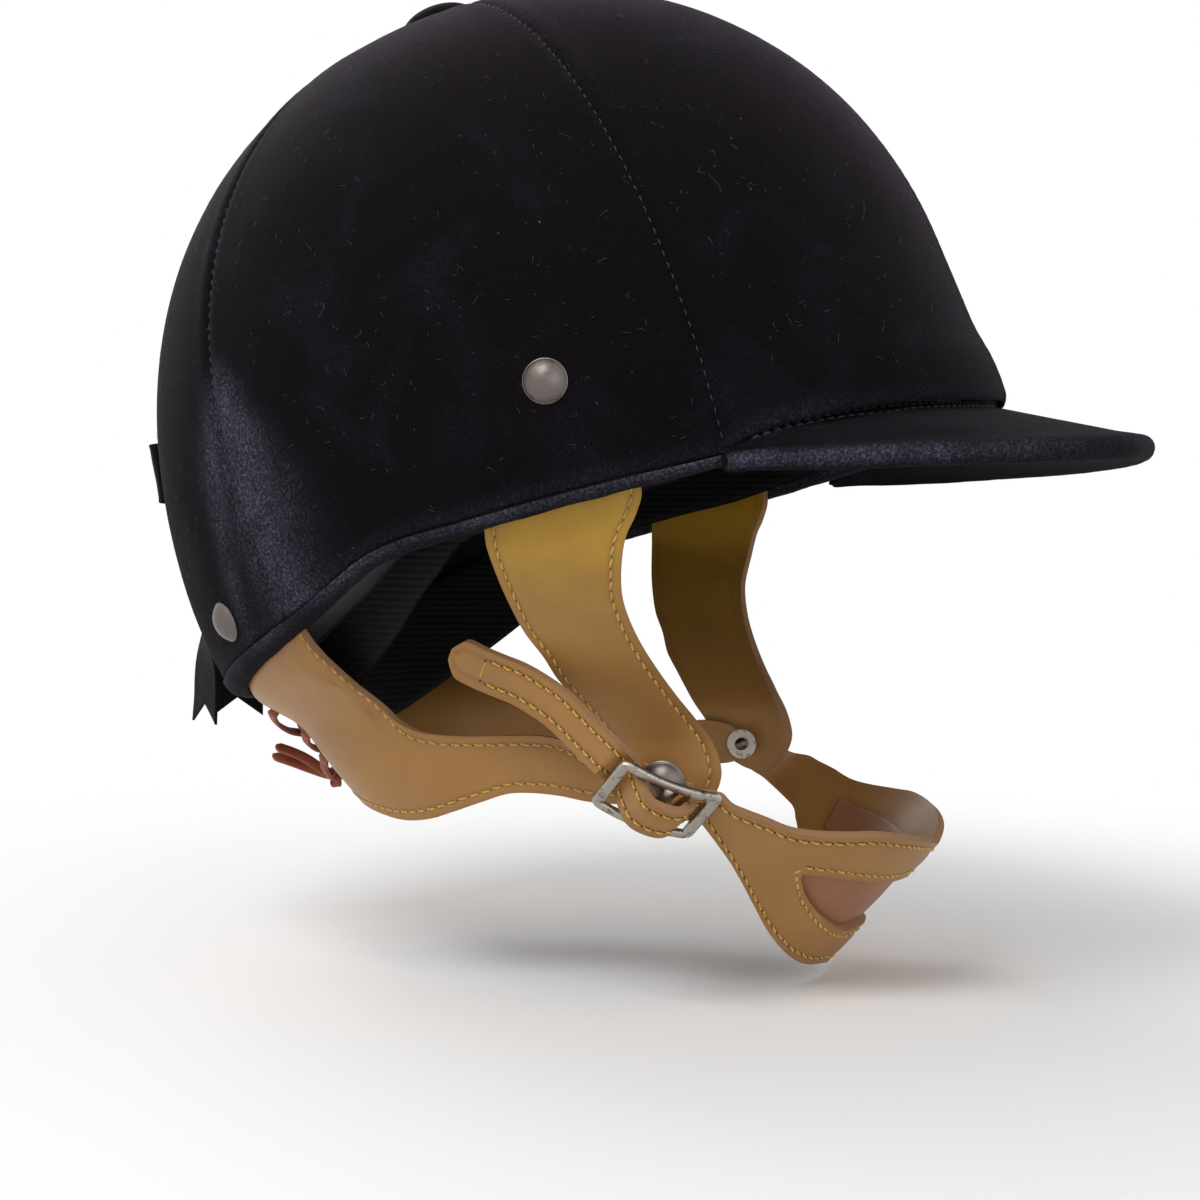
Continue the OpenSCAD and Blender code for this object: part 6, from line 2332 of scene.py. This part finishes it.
@dataclass(frozen=True)
class Lining:
    """What lies between shell and head: felt padding, a pleated lining and a ribbed headband."""

    crown: Crown
    finish: Palette
    rise: float = 7.0
    rows: int = 60
    pleats: int = 36
    pleat: float = 1.1
    band_steps: int = 360
    band_rows: int = 34
    ribs: int = 15
    pad_columns: int = 81
    pad_rows: int = 22

    def dome(self, out: float, inner: float, pleat: float, turns: int) -> Solid:
        """A layer of the crown from its point down to its edge, with shallow pleats on its inner face.

        Args:
            out: Inset of its outer face.
            inner: Inset of its inner face.
            pleat: Depth of the pleats.
            turns: Columns round the crown.

        Returns:
            The solid.
        """
        crown = self.crown
        turn = np.linspace(0, 360, turns, endpoint=False)[:, None]
        share = np.linspace(0, 1, self.rows)[None]
        layers = []
        for inset, fold in ((out, 0.0), (inner, pleat)):
            end = crown.hem_down(turn[:, 0], inset, self.rise)[:, None]
            down = 1.5 + (end - 1.5) * share
            wave = fold * (0.5 - 0.5 * np.cos(np.radians(turn) * self.pleats)) ** 2 * smooth((share - 0.06) / 0.2)
            layers.append(crown.gore_point(np.repeat(turn, self.rows, 1), down, inset + wave))
        return slab(layers[0], layers[1], wrap=True)

    def headband(self) -> Solid:
        """The ribbed band round the head.

        Returns:
            The solid.
        """
        crown = self.crown
        turn = np.linspace(0, 360, self.band_steps, endpoint=False)
        seen = np.where(turn > 180, 360 - turn, turn)
        low = crown.hem_z(seen) - curve([(0, 2.5), (60, 2.5), (78, 0), (96, -1), (104, 5), (115, 8), (180, 8)], seen)
        mid = (crown.headband_in + crown.headband_out) / 2
        half = (crown.headband_in - crown.headband_out) / 2
        up = np.linspace(0, 1, self.band_rows)
        rib = 0.22 * np.cos(up * self.ribs * 2 * math.pi)
        out_rise, in_rise = up * crown.headband_h, up[::-1] * crown.headband_h
        edge = np.sqrt(np.clip(np.minimum(up, 1 - up) * 12, 0, 1))
        rings = [crown.point(turn, low + h, mid - half * e - r * e) for h, e, r in zip(out_rise, edge, rib)]
        rings += [crown.point(turn, low + h, mid + half * e) for h, e in zip(in_rise, edge[::-1])]
        return loft(np.stack(rings, 1), True)

    def front_pad(self) -> Solid:
        """The pad that fills the swell over the peak's root.

        Returns:
            The solid.
        """
        crown = self.crown
        turn = np.linspace(-crown.peak_wrap * 0.84, crown.peak_wrap * 0.84, self.pad_columns)[:, None]
        share = np.linspace(0, 1, self.pad_rows)[None]
        z = crown.root_z(turn) + 2 * crown.gap + share * 0.62 * crown.swell_h
        turn = np.repeat(turn, self.pad_rows, 1)
        base = crown.radius(turn, z, crown.cover_t)
        outer = crown.spot(turn, base + np.maximum(crown.swell(turn, z) - 0.8, 0.4), z)
        return slab(outer, crown.spot(turn, base, z))

    def build(self) -> None:
        """Makes the padding, the lining, the headband and the front pad."""
        crown, finish = self.crown, self.finish
        pad = piece("felt_padding", self.dome(crown.strap_out + 3.8, crown.liner_in, 0.0, 144), [finish.felt],
                    "helmet", ["liner"])
        cloth = piece("pleated_lining", self.dome(crown.lining_out, crown.lining_in, self.pleat, 432), [finish.lining],
                      "helmet", ["crown_lining"])
        band = piece("ribbed_headband", self.headband(), [finish.band], "helmet", ["headband"])
        front = piece("front_felt_pad", self.front_pad(), [finish.felt], "helmet", ["front_pad"])
        dressed = {"shell": finish.fibre, "peak_core": finish.board, "button_shank": finish.nickel,
                   "rivet_washers": finish.nickel, "jaw_washers": finish.nickel}
        for node, material in dressed.items():
            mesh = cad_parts[node].data
            mesh.materials.clear()
            mesh.materials.append(material)


# Studio


@dataclass(frozen=True)
class Studio:
    """Pale floor, soft lamps and the camera at the photograph's angle."""

    eye: tuple[float, float, float] = (-640.8, -184.3, -37.4)
    aim: tuple[float, float, float] = (0.0, -10.94, -61.14)
    roll: float = 0.63
    lens: float = 62.27
    floor_z: float = -176.0
    floor_half: float = 2.0
    near_shade: float = 0.12
    far_shade: float = 0.5

    def camera(self) -> None:
        """Sets the camera."""
        data = bpy.data.cameras.new("camera")
        data.lens, data.sensor_width = self.lens, 36.0
        data.clip_start, data.clip_end = 0.01, 50.0
        made = bpy.data.objects.new("camera", data)
        bpy.context.scene.collection.objects.link(made)
        eye, aim = Vector(self.eye) * MM, Vector(self.aim) * MM
        made.location = eye
        turn = (aim - eye).to_track_quat("-Z", "Y").to_matrix().to_4x4()
        made.rotation_euler = (turn @ Matrix.Rotation(math.radians(self.roll), 4, "Z")).to_euler()
        bpy.context.scene.camera = made

    def lamp(self, name: str, at: tuple[float, float, float], power: float, size: float) -> None:
        """Adds one soft square lamp that faces the helmet.

        Args:
            name: The lamp's name.
            at: Its place in metres.
            power: Its power in watts.
            size: Its width in metres.
        """
        data = bpy.data.lights.new(name, "AREA")
        data.energy, data.size = power, size
        made = bpy.data.objects.new(name, data)
        made.location = at
        made.rotation_euler = (Vector((0, 0, -0.03)) - Vector(at)).to_track_quat("-Z", "Y").to_euler()
        bpy.context.scene.collection.objects.link(made)

    def floor(self) -> None:
        """Makes the pale floor, which fades out with distance, so that no horizon shows."""
        r = self.floor_half
        mesh = bpy.data.meshes.new("floor")
        mesh.from_pydata([(-r, -r, 0), (r, -r, 0), (r, r, 0), (-r, r, 0)], [], [(0, 1, 2, 3)])
        made = bpy.data.objects.new("floor", mesh)
        made.location = (0, 0, self.floor_z * MM)
        bpy.context.scene.collection.objects.link(made)
        paint, tree, shader, spot = Finish("pale_floor", "#fbfbfb", 0.9).start()
        away = add(tree, "VectorMath", {"operation": "LENGTH"}, {0: spot})
        near = add(
            tree,
            "MapRange",
            {"interpolation_type": "SMOOTHERSTEP"},
            {"Value": away.outputs["Value"], "From Min": self.near_shade, "From Max": self.far_shade, "To Min": 1.0,
             "To Max": 0.0},
        )
        tree.links.new(near.outputs[0], shader.inputs["Alpha"])
        mesh.materials.append(paint)

    @staticmethod
    def sky() -> None:
        """Makes the world: soft light on the helmet, plain white where the camera, glass and gloss see it."""
        world = bpy.data.worlds.new("studio")
        bpy.context.scene.world = world
        world.use_nodes = True
        tree = world.node_tree
        tree.nodes.clear()
        ray = add(tree, "LightPath").outputs
        seen = add(tree, "Math", {"operation": "MAXIMUM"}, {0: ray["Is Camera Ray"], 1: ray["Is Transmission Ray"]})
        seen = add(tree, "Math", {"operation": "MAXIMUM"}, {0: seen, 1: ray["Is Glossy Ray"]})
        soft = add(tree, "Background", inputs={"Color": srgb("#f3f1f0"), "Strength": 0.5})
        white = add(tree, "Background", inputs={"Color": (1, 1, 1, 1), "Strength": 1.0})
        mix = add(tree, "MixShader", inputs={0: seen, 1: soft, 2: white})
        add(tree, "OutputWorld", inputs={"Surface": mix})

    def build(self) -> None:
        """Makes the camera, the floor, the world and the lamps."""
        bpy.context.scene.view_settings.view_transform = "Standard"
        self.camera()
        self.floor()
        self.sky()
        self.lamp("key_lamp", (-0.9, 0.35, 1.05), 11.0, 0.7)
        self.lamp("fill_lamp", (-1.1, -1.0, 0.35), 3.2, 1.0)
        self.lamp("back_lamp", (0.7, 0.9, 0.8), 6.0, 0.8)


def main() -> None:
    """Builds the helmet's sub-assemblies in order, then the studio."""
    logging.basicConfig(level=logging.INFO, format="%(message)s")
    finish, crown = Palette(), Crown()
    Studio().build()
    harness = Harness(crown, finish)
    buckle = Buckle(harness, finish)
    Cover(crown, finish).build()
    Hem(crown, finish).build()
    Peak(crown, finish).build()
    harness.build()
    buckle.build()
    ChinStrap(harness, buckle, finish).build()
    Lace(harness, finish).build()
    Bow(crown, finish).build()
    Lining(crown, finish).build()


if __name__ == "__main__":
    main()
